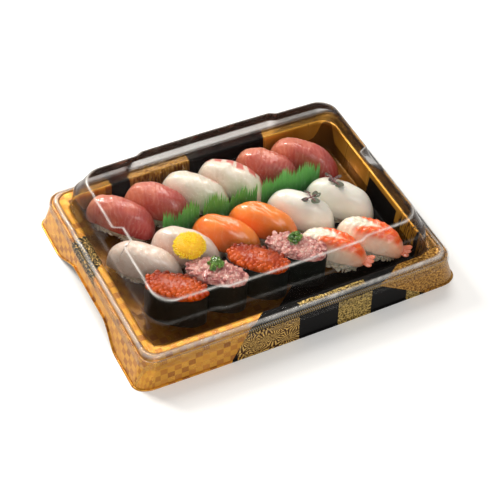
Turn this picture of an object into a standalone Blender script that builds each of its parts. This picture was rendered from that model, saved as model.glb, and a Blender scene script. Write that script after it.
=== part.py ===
"""Takeaway sushi tray: eighteen pieces in three slanting rows, in a printed tray under a clear lid.

Sizes are in millimetres and turned into metres where a mesh is made. The origin is the middle of
the tray's footprint on the table, X runs along the long front side and Y to the back.
"""

import math
import random

import bmesh
import bpy
from mathutils import Matrix, Vector

MM = 0.001

# The lid's outer edge is the reference rectangle: insets below are measured inwards from it
LID_LENGTH = 300.0
LID_WIDTH = 220.0
LONG_SIDE_BOW = 1.2
CORNER_STEPS = 4

# Tray: height of the skirt, its slope and the arch cut into each short side
SKIRT_TOP = 21.0
SKIRT_FLARE_X = 6.4
SKIRT_FLARE_Y = 1.5
SKIRT_LIP = 1.2
SKIRT_INSET = 0.9
SKIRT_TOP_RADIUS = 14.0
FOOT_RADIUS = 10.0
ARCH_SHARE = 0.56
ARCH_START = 0.17
ARCH_END = 0.35
RIM_HEIGHT = 29.4
GROOVE_HEIGHT = 27.9
RIDGE_HEIGHT = 32.4
SHOULDER_HEIGHT = 31.4
SHOULDER_INSET = 14.6
WELL_INSET = 17.8
FLOOR_HEIGHT = 1.2
TRAY_WALL = 0.8

# Tray profile from the floor out to the skirt: inset, height, corner radius
TRAY_PROFILE = (
    (WELL_INSET + 2.0, FLOOR_HEIGHT, 16.0),
    (WELL_INSET, FLOOR_HEIGHT + 1.5, 17.0),
    (SHOULDER_INSET + 1.2, SHOULDER_HEIGHT - 1.4, 15.0),
    (SHOULDER_INSET, SHOULDER_HEIGHT, 14.5),
    (8.4, SHOULDER_HEIGHT, 12.0),
    (7.2, RIDGE_HEIGHT, 12.0),
    (5.8, RIDGE_HEIGHT, 12.0),
    (3.4, GROOVE_HEIGHT, 12.5),
    (2.0, RIM_HEIGHT, 13.0),
    (1.3, RIM_HEIGHT, 13.5),
    (SKIRT_INSET, SKIRT_TOP, 15.0),
)

# Height of the under side where the floor turns up into the wall
UNDER_CORNER = 0.6

# Lid: clear sheet, its upright wall, its bead and its top
LID_WALL = 0.5
LID_GAP = 0.35
LID_EDGE_HEIGHT = 21.5
LID_WALL_INSET = 15.2
LID_BEAD_HEIGHT = 52.0
LID_BEAD_INSET = 17.4
LID_TOP_HEIGHT = 70.5
LID_TOP_INSET = 27.0
LID_SIDE_BULGE = 3.2
LID_BULGE_FROM = 0.185
LID_NOTCH_DEPTH = 8.0
LID_NOTCH_FROM = 0.42
STEP_SHARE = 0.02

# Lid profile on its inner side: inset, height, corner radius, share of the bulge, share of the notch
OVER_RIM = RIM_HEIGHT + LID_GAP + 0.2
OVER_RIDGE = RIDGE_HEIGHT + LID_GAP + 0.2
OVER_SHOULDER = SHOULDER_HEIGHT + LID_GAP + 0.1
LID_PROFILE = (
    (0.55, LID_EDGE_HEIGHT, 14.0, 0.0, 0.0),
    (0.75, OVER_RIM, 14.0, 0.0, 0.0),
    (2.1, OVER_RIM, 13.0, 0.0, 0.0),
    (3.4, GROOVE_HEIGHT + LID_GAP + 0.5, 12.5, 0.0, 0.0),
    (5.4, OVER_RIDGE, 12.0, 0.0, 0.0),
    (7.5, OVER_RIDGE, 12.0, 0.0, 0.0),
    (8.8, OVER_SHOULDER, 12.0, 0.0, 0.0),
    (LID_WALL_INSET - 0.4, OVER_SHOULDER, 14.5, 0.0, 0.0),
    (LID_BEAD_INSET, LID_BEAD_HEIGHT, 18.0, 0.8, 0.0),
    (LID_BEAD_INSET + 1.6, LID_BEAD_HEIGHT + 1.2, 18.0, 0.9, 0.0),
    (LID_TOP_INSET - 1.8, LID_TOP_HEIGHT - LID_WALL - 2.6, 18.0, 1.0, 1.0),
    (LID_TOP_INSET, LID_TOP_HEIGHT - LID_WALL, 18.0, 1.0, 1.0),
)

# Where points stand along a long and a short straight side, as shares of its length
TRAY_STOPS = ((0.25, 0.5, 0.75), (0.17, 0.23, 0.29, 0.35, 0.65, 0.71, 0.77, 0.83))
LID_STOPS = ((0.165, 0.205, 0.5, 0.795, 0.835), (0.2, 0.4, 0.44, 0.56, 0.6, 0.8))

# Food stands on the floor with a small gap, and pieces keep the same gap to each other
GAP = 0.35
REST = FLOOR_HEIGHT + GAP
AROUND = 14

# Nigiri: name, kind, centre x, centre y, turn from +X, length, width, height
NIGIRI = (
    ("tuna_1", "tuna", -94.5, 64.5, -47.0, 67.0, 27.2, 38.0),
    ("tuna_2", "tuna", -57.5, 65.7, -47.0, 67.0, 27.2, 39.5),
    ("bream_1", "bream", -20.0, 65.7, -49.0, 66.0, 27.0, 38.0),
    ("bream_2", "bream", 16.5, 65.1, -50.0, 67.0, 27.2, 39.5),
    ("tuna_3", "tuna", 53.5, 65.5, -50.0, 66.0, 27.2, 39.0),
    ("tuna_4", "tuna", 90.5, 62.5, -51.0, 70.0, 27.4, 40.0),
    ("flounder_1", "flounder", -97.5, 5.0, -44.0, 69.0, 27.4, 38.5),
    ("flounder_2", "flounder", -57.5, 5.5, -46.0, 67.0, 27.2, 39.0),
    ("salmon_1", "salmon", -18.5, 4.5, -48.0, 67.0, 27.2, 38.5),
    ("salmon_2", "salmon", 19.0, 5.0, -48.0, 67.0, 27.4, 39.0),
    ("squid_1", "squid", 57.0, 5.0, -49.0, 66.0, 27.2, 38.5),
    ("squid_2", "squid", 95.5, 2.5, -50.0, 69.0, 27.6, 40.0),
    ("shrimp_1", "shrimp", 62.0, -46.5, -48.0, 63.0, 26.4, 35.5),
    ("shrimp_2", "shrimp", 98.5, -49.5, -48.0, 63.0, 26.8, 36.5),
)

# Gunkan: name, kind, centre x, centre y, turn from +X
GUNKAN = (
    ("gunkan_1", "ikura", -90.5, -44.5, -41.0),
    ("gunkan_2", "negitoro", -52.0, -44.0, -42.0),
    ("gunkan_3", "ikura", -12.5, -44.5, -43.0),
    ("gunkan_4", "negitoro", 25.0, -45.0, -43.0),
)
GUNKAN_LENGTH = 56.0
GUNKAN_WIDTH = 28.0
GUNKAN_SQUARE = 2.2
GUNKAN_STEPS = 16
NORI_WAVE = 0.5
NORI_HEIGHT = 33.0
NORI_WALL = 0.5
GUNKAN_RICE_TOP = 27.0
HEAP_HEIGHT = 41.5
ROE_RADIUS = 3.3

# Chopped onion on the minced fish: place along and across it, base height and radius of the mound,
# and its levels as shares of the radius and heights
ONION_PLACE = (-2.0, 3.0)
ONION_BASE = HEAP_HEIGHT + 3.4
ONION_RADIUS = 6.2
ONION_STEPS = 9
ONION_LEVELS = ((0.9, 0.0), (1.0, 1.4), (0.75, 3.4), (0.35, 4.6))
ONION_RINGS = 5

# How far each kind of topping hangs down at its ends and sides, its thickness and its end form
TOPPING = {
    "tuna": dict(end_edge=8.5, side_edge=14.0, thick=6.0, side_lip=3.0, end_lip=7.5, square=2.5),
    "bream": dict(end_edge=9.5, side_edge=12.0, thick=5.0, side_lip=2.8, end_lip=7.0, square=2.6),
    "flounder": dict(end_edge=7.5, side_edge=11.5, thick=5.0, side_lip=2.8, end_lip=7.0, square=2.3),
    "salmon": dict(end_edge=7.5, side_edge=13.0, thick=6.0, side_lip=3.0, end_lip=7.5, square=2.4),
    "squid": dict(end_edge=8.0, side_edge=10.5, thick=5.5, side_lip=2.8, end_lip=7.0, square=2.5),
    "shrimp": dict(end_edge=12.5, side_edge=15.0, thick=6.5, side_lip=3.2, end_lip=6.5, square=2.3),
}

TOPPING_WORD = {"squid": "sheet", "shrimp": "body"}
EDGE_WAVE = 0.8
LEAN = 0.9

# Rice body under a slice: share of the edge's height, spread beyond its own outline
RICE_AROUND = 10
RICE_BODY = ((0.02, -2.2), (0.25, 0.9), (0.8, 1.1))

# Shrimp tail: turn of each fin, half length and half width of a fin, height above the floor
FIN_TURNS = (-26.0, 2.0, 28.0)
FIN_HALF_LENGTH = 7.5
FIN_HALF_WIDTH = 2.8
FIN_HEIGHT = 15.5

# Chrysanthemum head, lying in the dip between two flounder pieces
FLOWER_CENTRE = (-62.5, -11.5)
FLOWER_RADIUS = 16.0
FLOWER_BASE = 38.0
FLOWER_TOP = 53.5
FLOWER_PETALS = 16
# Its rings: share of the radius, share of the height, depth of the scallops
FLOWER_LEVELS = ((0.34, 0.0, 0.0), (0.82, 0.22, 0.06), (1.0, 0.5, 0.09), (0.86, 0.78, 0.08),
                 (0.4, 0.97, 0.03))

# Serrated plastic grass: first and last x, line y and number of blades
GRASS = (
    ("grass_1", -66.0, -30.0, 35.8, 8),
    ("grass_2", -26.0, 28.0, 35.8, 12),
    ("grass_3", 32.0, 92.0, 34.8, 13),
)
GRASS_WALL = 0.45
GRASS_BOW = 0.3
GRASS_FOOT = 12.0
# Its blades stand in groups: x and height of the highest blade of each, the fall to each side
# for a millimetre along, and the depth of the cut between two blades
GRASS_PEAKS = ((-64.0, 43.0), (-39.0, 46.0), (-15.7, 47.0), (11.6, 43.0), (35.0, 46.0), (55.0, 51.0),
               (76.0, 51.0), (90.0, 44.0))
GRASS_FALL = 0.85
GRASS_CUT = 6.0

# Sprouts on the squid: name, piece below, place along and across it, and their leaves, each with its
# place to the right and to the front of the middle, half length, half width and turn
SPROUTS = (
    ("sprout_1", "squid_1", 8.5, 0.5, (
        (4.4, -3.9, 4.3, 3.8, 60.0), (3.8, 4.8, 4.3, 3.9, -70.0), (-5.7, 3.9, 3.9, 2.7, -130.0),
        (-4.4, -6.7, 3.7, 1.2, 160.0))),
    ("sprout_2", "squid_2", -6.6, -0.6, (
        (4.7, 4.3, 4.5, 4.1, -60.0), (-2.5, -1.7, 3.6, 3.0, -110.0), (-5.7, -7.8, 4.2, 1.7, 150.0),
        (3.8, -6.5, 4.0, 1.8, 30.0))),
)
SPROUT_TURN = -30.0
STEM_RADIUS = 0.7
KNOT_RADIUS = 1.25
SPROUT_RISE = 1.6

COLOURS = {
    "tuna": (0.50, 0.10, 0.08),
    "bream": (0.72, 0.62, 0.54),
    "flounder": (0.66, 0.56, 0.50),
    "salmon": (0.85, 0.26, 0.06),
    "squid": (0.80, 0.78, 0.72),
    "shrimp": (0.82, 0.30, 0.12),
    "rice": (0.78, 0.72, 0.60),
    "nori": (0.012, 0.016, 0.012),
    "ikura": (0.62, 0.08, 0.01),
    "negitoro": (0.56, 0.20, 0.19),
    "onion": (0.10, 0.28, 0.05),
    "flower": (0.90, 0.58, 0.01),
    "grass": (0.02, 0.20, 0.05),
    "sprout": (0.10, 0.08, 0.08),
    "tray": (0.55, 0.36, 0.12),
    "lid": (0.85, 0.87, 0.88),
}


def clear_scene():
    for item in list(bpy.data.objects):
        bpy.data.objects.remove(item, do_unlink=True)


def make_material(name, colour, roughness, metallic=0.0, transmission=0.0):
    material = bpy.data.materials.new(name)
    material.use_nodes = True
    shader = material.node_tree.nodes["Principled BSDF"]
    shader.inputs["Base Color"].default_value = (*colour, 1.0)
    shader.inputs["Roughness"].default_value = roughness
    shader.inputs["Metallic"].default_value = metallic
    shader.inputs["Transmission Weight"].default_value = transmission
    return material


def add_object(name, mesh_data, material, sharp_degrees=40.0):
    """Turns a bmesh in millimetres into one named object in metres."""
    bmesh.ops.recalc_face_normals(mesh_data, faces=mesh_data.faces)
    bmesh.ops.scale(mesh_data, vec=(MM, MM, MM), verts=mesh_data.verts)
    mesh = bpy.data.meshes.new(name)
    mesh_data.to_mesh(mesh)
    mesh_data.free()
    mesh.materials.append(material)
    mesh.shade_smooth()
    mesh.set_sharp_from_angle(angle=math.radians(sharp_degrees))
    item = bpy.data.objects.new(name, mesh)
    bpy.context.scene.collection.objects.link(item)
    return item


def smooth_step(low, high, value):
    share = min(1.0, max(0.0, (value - low) / (high - low)))
    return share * share * (3.0 - 2.0 * share)


def outline_stations(stops):
    """The stops round a rounded rectangle, anticlockwise from the front left corner's end."""
    stations = []
    for side in range(4):
        stations += [("side", side, stop) for stop in stops[side % 2]]
        stations += [("corner", side, step / CORNER_STEPS) for step in range(CORNER_STEPS + 1)]
    return stations


def outline_point(station, half_x, half_y, radius, bow):
    """A point of the rounded rectangle: straight sides with a slight bow, round corners."""
    kind, side, share = station
    straight_x = half_x - radius
    straight_y = half_y - radius
    if kind == "side":
        bulge = bow * 4.0 * share * (1.0 - share)
        along = 2.0 * share - 1.0
        if side == 0:
            return straight_x * along, -half_y - bulge
        if side == 1:
            return half_x, straight_y * along
        if side == 2:
            return -straight_x * along, half_y + bulge
        return -half_x, -straight_y * along
    centres = ((1, -1), (1, 1), (-1, 1), (-1, -1))
    angle = math.radians(-90.0 + 90.0 * (side + share))
    return (centres[side][0] * straight_x + radius * math.cos(angle),
            centres[side][1] * straight_y + radius * math.sin(angle))


def ring_shell(rings):
    """Joins closed rings of equal length into a skin and closes both ends with a fan."""
    mesh_data = bmesh.new()
    loops = [[mesh_data.verts.new(point) for point in ring] for ring in rings]
    count = len(loops[0])
    for lower, upper in zip(loops, loops[1:]):
        for here in range(count):
            after = (here + 1) % count
            mesh_data.faces.new((lower[here], lower[after], upper[after], upper[here]))
    for loop in (loops[0], loops[-1]):
        middle = sum((vertex.co for vertex in loop), Vector()) / count
        centre = mesh_data.verts.new(middle)
        for here in range(count):
            mesh_data.faces.new((loop[here], loop[(here + 1) % count], centre))
    return mesh_data


def offset_path(path, distance):
    """Moves each (inset, height) point of a profile along its mitred normal."""
    moved = []
    last = len(path) - 1
    for index, (inset, height) in enumerate(path):
        before = Vector(path[index]) - Vector(path[max(index - 1, 0)])
        after = Vector(path[min(index + 1, last)]) - Vector(path[index])
        before = (before if index > 0 else after).normalized()
        after = (after if index < last else before).normalized()
        tangent = (before + after).normalized()
        stretch = 1.0 / max(0.5, tangent.dot(after))
        moved.append((inset - tangent.y * distance * stretch, height + tangent.x * distance * stretch))
    return moved


def skirt_arch(station):
    """How much of the skirt's depth is left at a stop: all of it, less over the middle of a short side."""
    kind, side, share = station
    if kind == "corner" or side % 2 == 0:
        return 1.0
    from_end = min(share, 1.0 - share)
    return 1.0 - ARCH_SHARE * smooth_step(ARCH_START, ARCH_END, from_end)


def tray_ring(stations, inset, height, radius):
    half_x = LID_LENGTH / 2.0 - inset
    half_y = LID_WIDTH / 2.0 - inset
    return [(*outline_point(stop, half_x, half_y, radius, LONG_SIDE_BOW), height) for stop in stations]


def skirt_ring(stations, depth, wall, lip=0.0, thickness_down=0.0):
    """A ring of the sloping skirt at a share of its depth, pulled up where the short sides arch."""
    ring = []
    for stop in stations:
        share = depth * skirt_arch(stop)
        spread_x = SKIRT_FLARE_X * share + lip - SKIRT_INSET - wall
        spread_y = SKIRT_FLARE_Y * share + lip - SKIRT_INSET - wall
        radius = SKIRT_TOP_RADIUS + (FOOT_RADIUS - SKIRT_TOP_RADIUS) * depth
        x, y = outline_point(stop, LID_LENGTH / 2.0 + spread_x, LID_WIDTH / 2.0 + spread_y, radius,
                             LONG_SIDE_BOW)
        ring.append((x, y, SKIRT_TOP * (1.0 - share) + thickness_down))
    return ring


def build_tray():
    stations = outline_stations(TRAY_STOPS)
    under = tray_under_profile()
    rings = [tray_ring(stations, *row) for row in TRAY_PROFILE]
    rings.append(skirt_ring(stations, 0.96, 0.0))
    rings.append(skirt_ring(stations, 1.0, 0.0, lip=SKIRT_LIP, thickness_down=TRAY_WALL))
    rings.append(skirt_ring(stations, 1.0, 0.0, lip=SKIRT_LIP))
    rings.append(skirt_ring(stations, 0.98, TRAY_WALL))
    rings += [tray_ring(stations, *row) for row in reversed(under)]
    return add_object("tray", ring_shell(rings), make_material("printed_tray", COLOURS["tray"], 0.25, 0.4))


def tray_under_profile():
    """The tray's profile on its under side: one wall inside the upper skin, flat on the table."""
    path = [(inset, height) for inset, height, radius in TRAY_PROFILE]
    moved = offset_path(path, TRAY_WALL)
    moved[0] = (path[0][0], 0.0)
    moved[1] = (moved[1][0], UNDER_CORNER)
    return [(inset, height, row[2]) for (inset, height), row in zip(moved, TRAY_PROFILE)]


def lid_bulge(station):
    """The middle of each long side stands out a little, behind a short step at each end."""
    kind, side, share = station
    if kind == "corner" or side % 2 == 1:
        return 0.0
    return LID_SIDE_BULGE * smooth_step(LID_BULGE_FROM - STEP_SHARE, LID_BULGE_FROM + STEP_SHARE,
                                        min(share, 1.0 - share))


def lid_notch(station):
    """A stacking notch in the top, at the middle of each short side."""
    kind, side, share = station
    if kind == "corner" or side % 2 == 0:
        return 0.0
    return LID_NOTCH_DEPTH * smooth_step(LID_NOTCH_FROM - STEP_SHARE, LID_NOTCH_FROM + STEP_SHARE,
                                         min(share, 1.0 - share))


def lid_ring(stations, inset, height, radius, bulge, notch):
    half_x = LID_LENGTH / 2.0 - inset
    half_y = LID_WIDTH / 2.0 - inset
    ring = []
    for stop in stations:
        x, y = outline_point(stop, half_x, half_y, radius, LONG_SIDE_BOW)
        y += math.copysign(bulge * lid_bulge(stop), y)
        x -= math.copysign(notch * lid_notch(stop), x)
        ring.append((x, y, height))
    return ring


def build_lid():
    stations = outline_stations(LID_STOPS)
    outer = offset_path([(row[0], row[1]) for row in LID_PROFILE], LID_WALL)
    outer[0] = (outer[0][0], LID_EDGE_HEIGHT)
    outer[-1] = (LID_TOP_INSET, LID_TOP_HEIGHT)
    inner_rings = [lid_ring(stations, *row) for row in LID_PROFILE]
    outer_rings = [lid_ring(stations, *point, *row[2:]) for point, row in zip(outer, LID_PROFILE)]
    rings = list(reversed(inner_rings)) + outer_rings
    return add_object("lid", ring_shell(rings), make_material("clear_lid", COLOURS["lid"], 0.05, 0.0, 0.9))


def piece_frame(x, y, turn):
    """Turns a piece's own (along, across) into the tray's x and y."""
    cosine = math.cos(math.radians(turn))
    sine = math.sin(math.radians(turn))
    return lambda along, across: (x + along * cosine - across * sine, y + along * sine + across * cosine)


def oval(angle, half_length, half_width, square):
    """A superellipse point: square 2 is an ellipse, more is boxier."""
    cosine, sine = math.cos(angle), math.sin(angle)
    power = 2.0 / square
    return (half_length * math.copysign(abs(cosine) ** power, cosine),
            half_width * math.copysign(abs(sine) ** power, sine))


def dome_share(reach):
    """Height of the dome from its edge, 1, to its middle, 0."""
    return (1.0 - reach ** 3.2) ** 0.5


def waver(seed, angle):
    """A slow wave round a piece, so that no two have the same outline."""
    return math.sin(2.0 * angle + seed) + 0.6 * math.sin(3.0 * angle + 1.7 * seed)


def topping_rings(kind, frame, length, width, height, seed):
    """The draped slice: an outer dome down to its edge, then a smaller dome back up inside it."""
    shape = TOPPING[kind]
    angles = [2.0 * math.pi * step / AROUND for step in range(AROUND)]
    rings = []
    for reaches, inner in (((0.5, 0.85, 1.0), False), ((1.0, 0.88, 0.5), True)):
        for reach in reaches:
            ring = []
            for angle in angles:
                endness = abs(math.cos(angle)) ** 2.0
                edge = REST + shape["side_edge"] + (shape["end_edge"] - shape["side_edge"]) * endness
                edge += EDGE_WAVE * waver(seed, angle)
                lip = shape["side_lip"] + (shape["end_lip"] - shape["side_lip"]) * endness
                shrink = lip if inner else 0.0
                top = REST + height - (shape["thick"] if inner else 0.0)
                along, across = oval(angle, length / 2.0 - shrink, width / 2.0 - shrink, shape["square"])
                along *= reach
                across *= reach
                lift = dome_share(reach)
                lean = LEAN * math.sin(seed) * across / width
                z = edge + (top - edge) * lift + lean * lift
                ring.append((*frame(along, across), z))
            rings.append(ring)
    return rings


def rice_rings(kind, frame, length, width, height):
    """The rice under a slice: the slice's inner dome less a gap, then a rounded body to the floor."""
    shape = TOPPING[kind]
    angles = [2.0 * math.pi * step / RICE_AROUND for step in range(RICE_AROUND)]
    rings = []
    for share, spread in RICE_BODY:
        ring = []
        for angle in angles:
            endness = abs(math.cos(angle)) ** 2.0
            lip = shape["side_lip"] + (shape["end_lip"] - shape["side_lip"]) * endness
            edge = shape["side_edge"] + (shape["end_edge"] - shape["side_edge"]) * endness - 2.2
            along, across = oval(angle, length / 2.0 - lip - 1.6 + spread, width / 2.0 - lip - 1.4 + spread,
                                 shape["square"])
            ring.append((*frame(along, across), REST + edge * share))
        rings.append(ring)
    for reach in (0.92, 0.5):
        ring = []
        for angle in angles:
            endness = abs(math.cos(angle)) ** 2.0
            lip = shape["side_lip"] + (shape["end_lip"] - shape["side_lip"]) * endness
            edge = REST + shape["side_edge"] + (shape["end_edge"] - shape["side_edge"]) * endness - 1.2
            top = REST + height - shape["thick"] - 1.6
            along, across = oval(angle, length / 2.0 - lip - 1.8, width / 2.0 - lip - 1.6, shape["square"])
            lift = dome_share(reach)
            ring.append((*frame(along * reach, across * reach), edge + (top - edge) * lift))
        rings.append(ring)
    return rings


def build_nigiri(name, kind, x, y, turn, length, width, height, seed, materials):
    frame = piece_frame(x, y, turn)
    add_object(name + "_rice", ring_shell(rice_rings(kind, frame, length, width, height)),
               materials["rice"])
    rings = topping_rings(kind, frame, length, width, height, seed)
    topping = add_object(name + "_" + TOPPING_WORD.get(kind, "slice"), ring_shell(rings), materials[kind])
    if kind == "shrimp":
        fuse(topping, shrimp_tail(frame, length))


def shrimp_tail(frame, length):
    """Three flat fins spread from the tail end of the body."""
    fins = []
    for index, spread in enumerate(FIN_TURNS):
        mesh_data = bmesh.new()
        bmesh.ops.create_uvsphere(mesh_data, u_segments=6, v_segments=4, radius=1.0)
        turn = math.radians(spread)
        for vertex in mesh_data.verts:
            along = FIN_HALF_LENGTH * vertex.co.x
            across = (FIN_HALF_WIDTH + 0.16 * along) * vertex.co.y
            far = length / 2.0 + along * math.cos(turn) - across * math.sin(turn)
            side = along * math.sin(turn) + across * math.cos(turn) + 0.10 * spread
            height = REST + FIN_HEIGHT + 1.1 * vertex.co.z + 0.16 * along + index * 0.4
            vertex.co = (*frame(far, side), height)
        fins.append(mesh_data)
    return fins


def keep_outer_skin(mesh):
    """Keeps the largest closed skin of a mesh: sealed hollows are filled and loose scraps dropped."""
    mesh_data = bmesh.new()
    mesh_data.from_mesh(mesh)
    waiting = set(mesh_data.faces)
    islands = []
    while waiting:
        island = [waiting.pop()]
        for face in island:
            for edge in face.edges:
                for neighbour in edge.link_faces:
                    if neighbour in waiting:
                        waiting.remove(neighbour)
                        island.append(neighbour)
        islands.append(island)
    islands.sort(key=len)
    for island in islands[:-1]:
        bmesh.ops.delete(mesh_data, geom=island, context="FACES")
    mesh_data.to_mesh(mesh)
    mesh_data.free()


def fuse(item, bits):
    """Joins loose closed bits to an object with one Boolean union on a collection."""
    collection = bpy.data.collections.new(item.name + "_bits")
    bpy.context.scene.collection.children.link(collection)
    for index, mesh_data in enumerate(bits):
        bmesh.ops.recalc_face_normals(mesh_data, faces=mesh_data.faces)
        bmesh.ops.scale(mesh_data, vec=(MM, MM, MM), verts=mesh_data.verts)
        mesh = bpy.data.meshes.new(item.name + "_bit")
        mesh_data.to_mesh(mesh)
        mesh_data.free()
        collection.objects.link(bpy.data.objects.new(mesh.name + str(index), mesh))
    union = item.modifiers.new("union", "BOOLEAN")
    union.operation = "UNION"
    union.operand_type = "COLLECTION"
    union.collection = collection
    union.solver = "EXACT"
    union.use_self = True
    bpy.context.view_layer.update()
    graph = bpy.context.evaluated_depsgraph_get()
    joined = bpy.data.meshes.new_from_object(item.evaluated_get(graph))
    item.modifiers.clear()
    keep_outer_skin(joined)
    item.data = joined
    for bit in list(collection.objects):
        bpy.data.objects.remove(bit, do_unlink=True)
    bpy.data.collections.remove(collection)


def gunkan_ring(frame, half_length, half_width, height, wave=0.0, seed=0.0):
    ring = []
    for step in range(GUNKAN_STEPS):
        angle = 2.0 * math.pi * step / GUNKAN_STEPS
        ring.append((*frame(*oval(angle, half_length, half_width, GUNKAN_SQUARE)),
                     height + wave * waver(seed, angle)))
    return ring


def build_nori(name, frame, seed, material):
    """A thin upright band round the rice, open above and below, with an uneven upper edge."""
    outer = (GUNKAN_LENGTH / 2.0, GUNKAN_WIDTH / 2.0)
    inner = (outer[0] - NORI_WALL, outer[1] - NORI_WALL)
    top = REST + NORI_HEIGHT
    rings = [gunkan_ring(frame, *outer, REST), gunkan_ring(frame, *outer, top, NORI_WAVE, seed),
             gunkan_ring(frame, *inner, top, NORI_WAVE, seed), gunkan_ring(frame, *inner, REST)]
    mesh_data = bmesh.new()
    loops = [[mesh_data.verts.new(point) for point in ring] for ring in rings]
    for index, lower in enumerate(loops):
        upper = loops[(index + 1) % len(loops)]
        for here in range(GUNKAN_STEPS):
            after = (here + 1) % GUNKAN_STEPS
            mesh_data.faces.new((lower[here], lower[after], upper[after], upper[here]))
    add_object(name + "_nori", mesh_data, material)


def build_gunkan(name, kind, x, y, turn, seed, materials):
    frame = piece_frame(x, y, turn)
    build_nori(name, frame, seed, materials["nori"])
    clear = NORI_WALL + GAP
    half_length, half_width = GUNKAN_LENGTH / 2.0 - clear, GUNKAN_WIDTH / 2.0 - clear
    rice = [gunkan_ring(frame, half_length - 0.3, half_width - 0.3, height) for height in
            (REST, REST + GUNKAN_RICE_TOP)]
    add_object(name + "_rice", ring_shell(rice), materials["rice"])
    item = add_object(name + "_" + kind, ring_shell(heap_core(frame, half_length, half_width)),
                      materials[kind])
    draw = random.Random(int(seed * 100))
    fuse(item, roe_bits(frame, draw) if kind == "ikura" else mince_bits(frame, draw))


def heap_core(frame, half_length, half_width):
    """A plug inside the band that swells into a low dome above its edge."""
    lip = REST + NORI_HEIGHT
    rings = [gunkan_ring(frame, half_length, half_width, REST + GUNKAN_RICE_TOP + GAP),
             gunkan_ring(frame, half_length, half_width, lip + 0.6)]
    for reach in (0.9, 0.62, 0.3):
        rings.append(gunkan_ring(frame, half_length * reach, half_width * reach, heap_height(reach)))
    return rings


def heap_height(reach):
    """Height of the heap's skin at a share of the way from its middle to its edge."""
    lip = REST + NORI_HEIGHT + 0.6
    return lip + (HEAP_HEIGHT - 1.2 - lip) * (1.0 - reach ** 3.0) ** 0.6


def heap_places(draw, rows):
    """Evenly spread places on the heap: rows of (share of the way out, count), each row turned."""
    places = []
    for reach, count in rows:
        start = draw.uniform(0.0, 2.0 * math.pi)
        for step in range(count):
            angle = start + 2.0 * math.pi * (step + draw.uniform(-0.2, 0.2)) / count
            places.append((reach, angle))
    return places


def roe_bits(frame, draw):
    """Round eggs sunk by half into the heap; the outer ones ride over the band's edge."""
    bits = []
    for reach, angle in heap_places(draw, ((0.0, 1), (0.42, 5), (0.88, 12))):
        along, across = oval(angle, GUNKAN_LENGTH / 2.0 - 0.4, GUNKAN_WIDTH / 2.0 - 0.4, GUNKAN_SQUARE)
        radius = ROE_RADIUS * draw.uniform(0.92, 1.08)
        lowest = REST + NORI_HEIGHT + 1.4 + radius
        height = max(heap_height(min(reach, 0.93)) + 0.25 * radius, lowest if reach > 0.8 else 0.0)
        mesh_data = bmesh.new()
        bmesh.ops.create_uvsphere(mesh_data, u_segments=6, v_segments=4, radius=radius)
        turn = draw.uniform(0.0, 2.0 * math.pi)
        for vertex in mesh_data.verts:
            x = vertex.co.x * math.cos(turn) - vertex.co.y * math.sin(turn)
            y = vertex.co.x * math.sin(turn) + vertex.co.y * math.cos(turn)
            place = frame(along * reach + x, across * reach + y)
            vertex.co = (*place, height + vertex.co.z)
        bits.append(mesh_data)
    return bits


def mince_bits(frame, draw):
    """Uneven lumps of chopped fish, longer than wide and lying each its own way."""
    bits = []
    for reach, angle in heap_places(draw, ((0.2, 2), (0.82, 7))):
        along, across = oval(angle, GUNKAN_LENGTH / 2.0 - 1.0, GUNKAN_WIDTH / 2.0 - 1.0, GUNKAN_SQUARE)
        long_half = draw.uniform(4.4, 6.0)
        short_half = draw.uniform(2.6, 3.2)
        lowest = REST + NORI_HEIGHT + 1.2 + short_half
        height = max(heap_height(min(reach, 0.9)) + 0.4, lowest if reach > 0.7 else 0.0)
        mesh_data = bmesh.new()
        bmesh.ops.create_icosphere(mesh_data, subdivisions=1, radius=1.0)
        turn = draw.uniform(0.0, math.pi)
        for vertex in mesh_data.verts:
            reach_out = draw.uniform(0.86, 1.12)
            x = vertex.co.x * long_half * reach_out
            y = vertex.co.y * short_half * reach_out
            place = frame(along * reach + x * math.cos(turn) - y * math.sin(turn),
                          across * reach + x * math.sin(turn) + y * math.cos(turn))
            vertex.co = (*place, height + vertex.co.z * short_half)
        bits.append(mesh_data)
    return bits


def build_onion(name, frame, material, seed):
    """A pinch of chopped green onion: a small mound with short rolled rings fused on."""
    draw = random.Random(int(seed * 10))
    x, y = frame(*ONION_PLACE)
    levels = []
    for reach, height in ONION_LEVELS:
        ring = []
        for step in range(ONION_STEPS):
            angle = 2.0 * math.pi * step / ONION_STEPS
            radius = ONION_RADIUS * reach * (1.0 + 0.12 * math.sin(3.0 * angle + seed))
            ring.append((x + radius * math.cos(angle), y + radius * math.sin(angle), ONION_BASE + height))
        levels.append(ring)
    item = add_object(name + "_onion", ring_shell(levels), material)
    bits = []
    for step in range(ONION_RINGS):
        angle = 2.0 * math.pi * step / ONION_RINGS + draw.uniform(-0.3, 0.3)
        outer = step % 3 > 0
        reach = 5.0 if outer else 2.0
        centre = Vector((x + reach * math.cos(angle), y + reach * math.sin(angle),
                         ONION_BASE + (3.0 if outer else 5.0)))
        mesh_data = bmesh.new()
        bmesh.ops.create_cone(mesh_data, cap_ends=True, cap_tris=False, segments=6, radius1=2.3,
                              radius2=2.0, depth=2.4)
        tilt = Matrix.Rotation(angle, 3, "Z") @ Matrix.Rotation(draw.uniform(0.2, 1.1), 3, "Y")
        for vertex in mesh_data.verts:
            vertex.co = centre + tilt @ vertex.co
        bits.append(mesh_data)
    fuse(item, bits)


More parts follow.
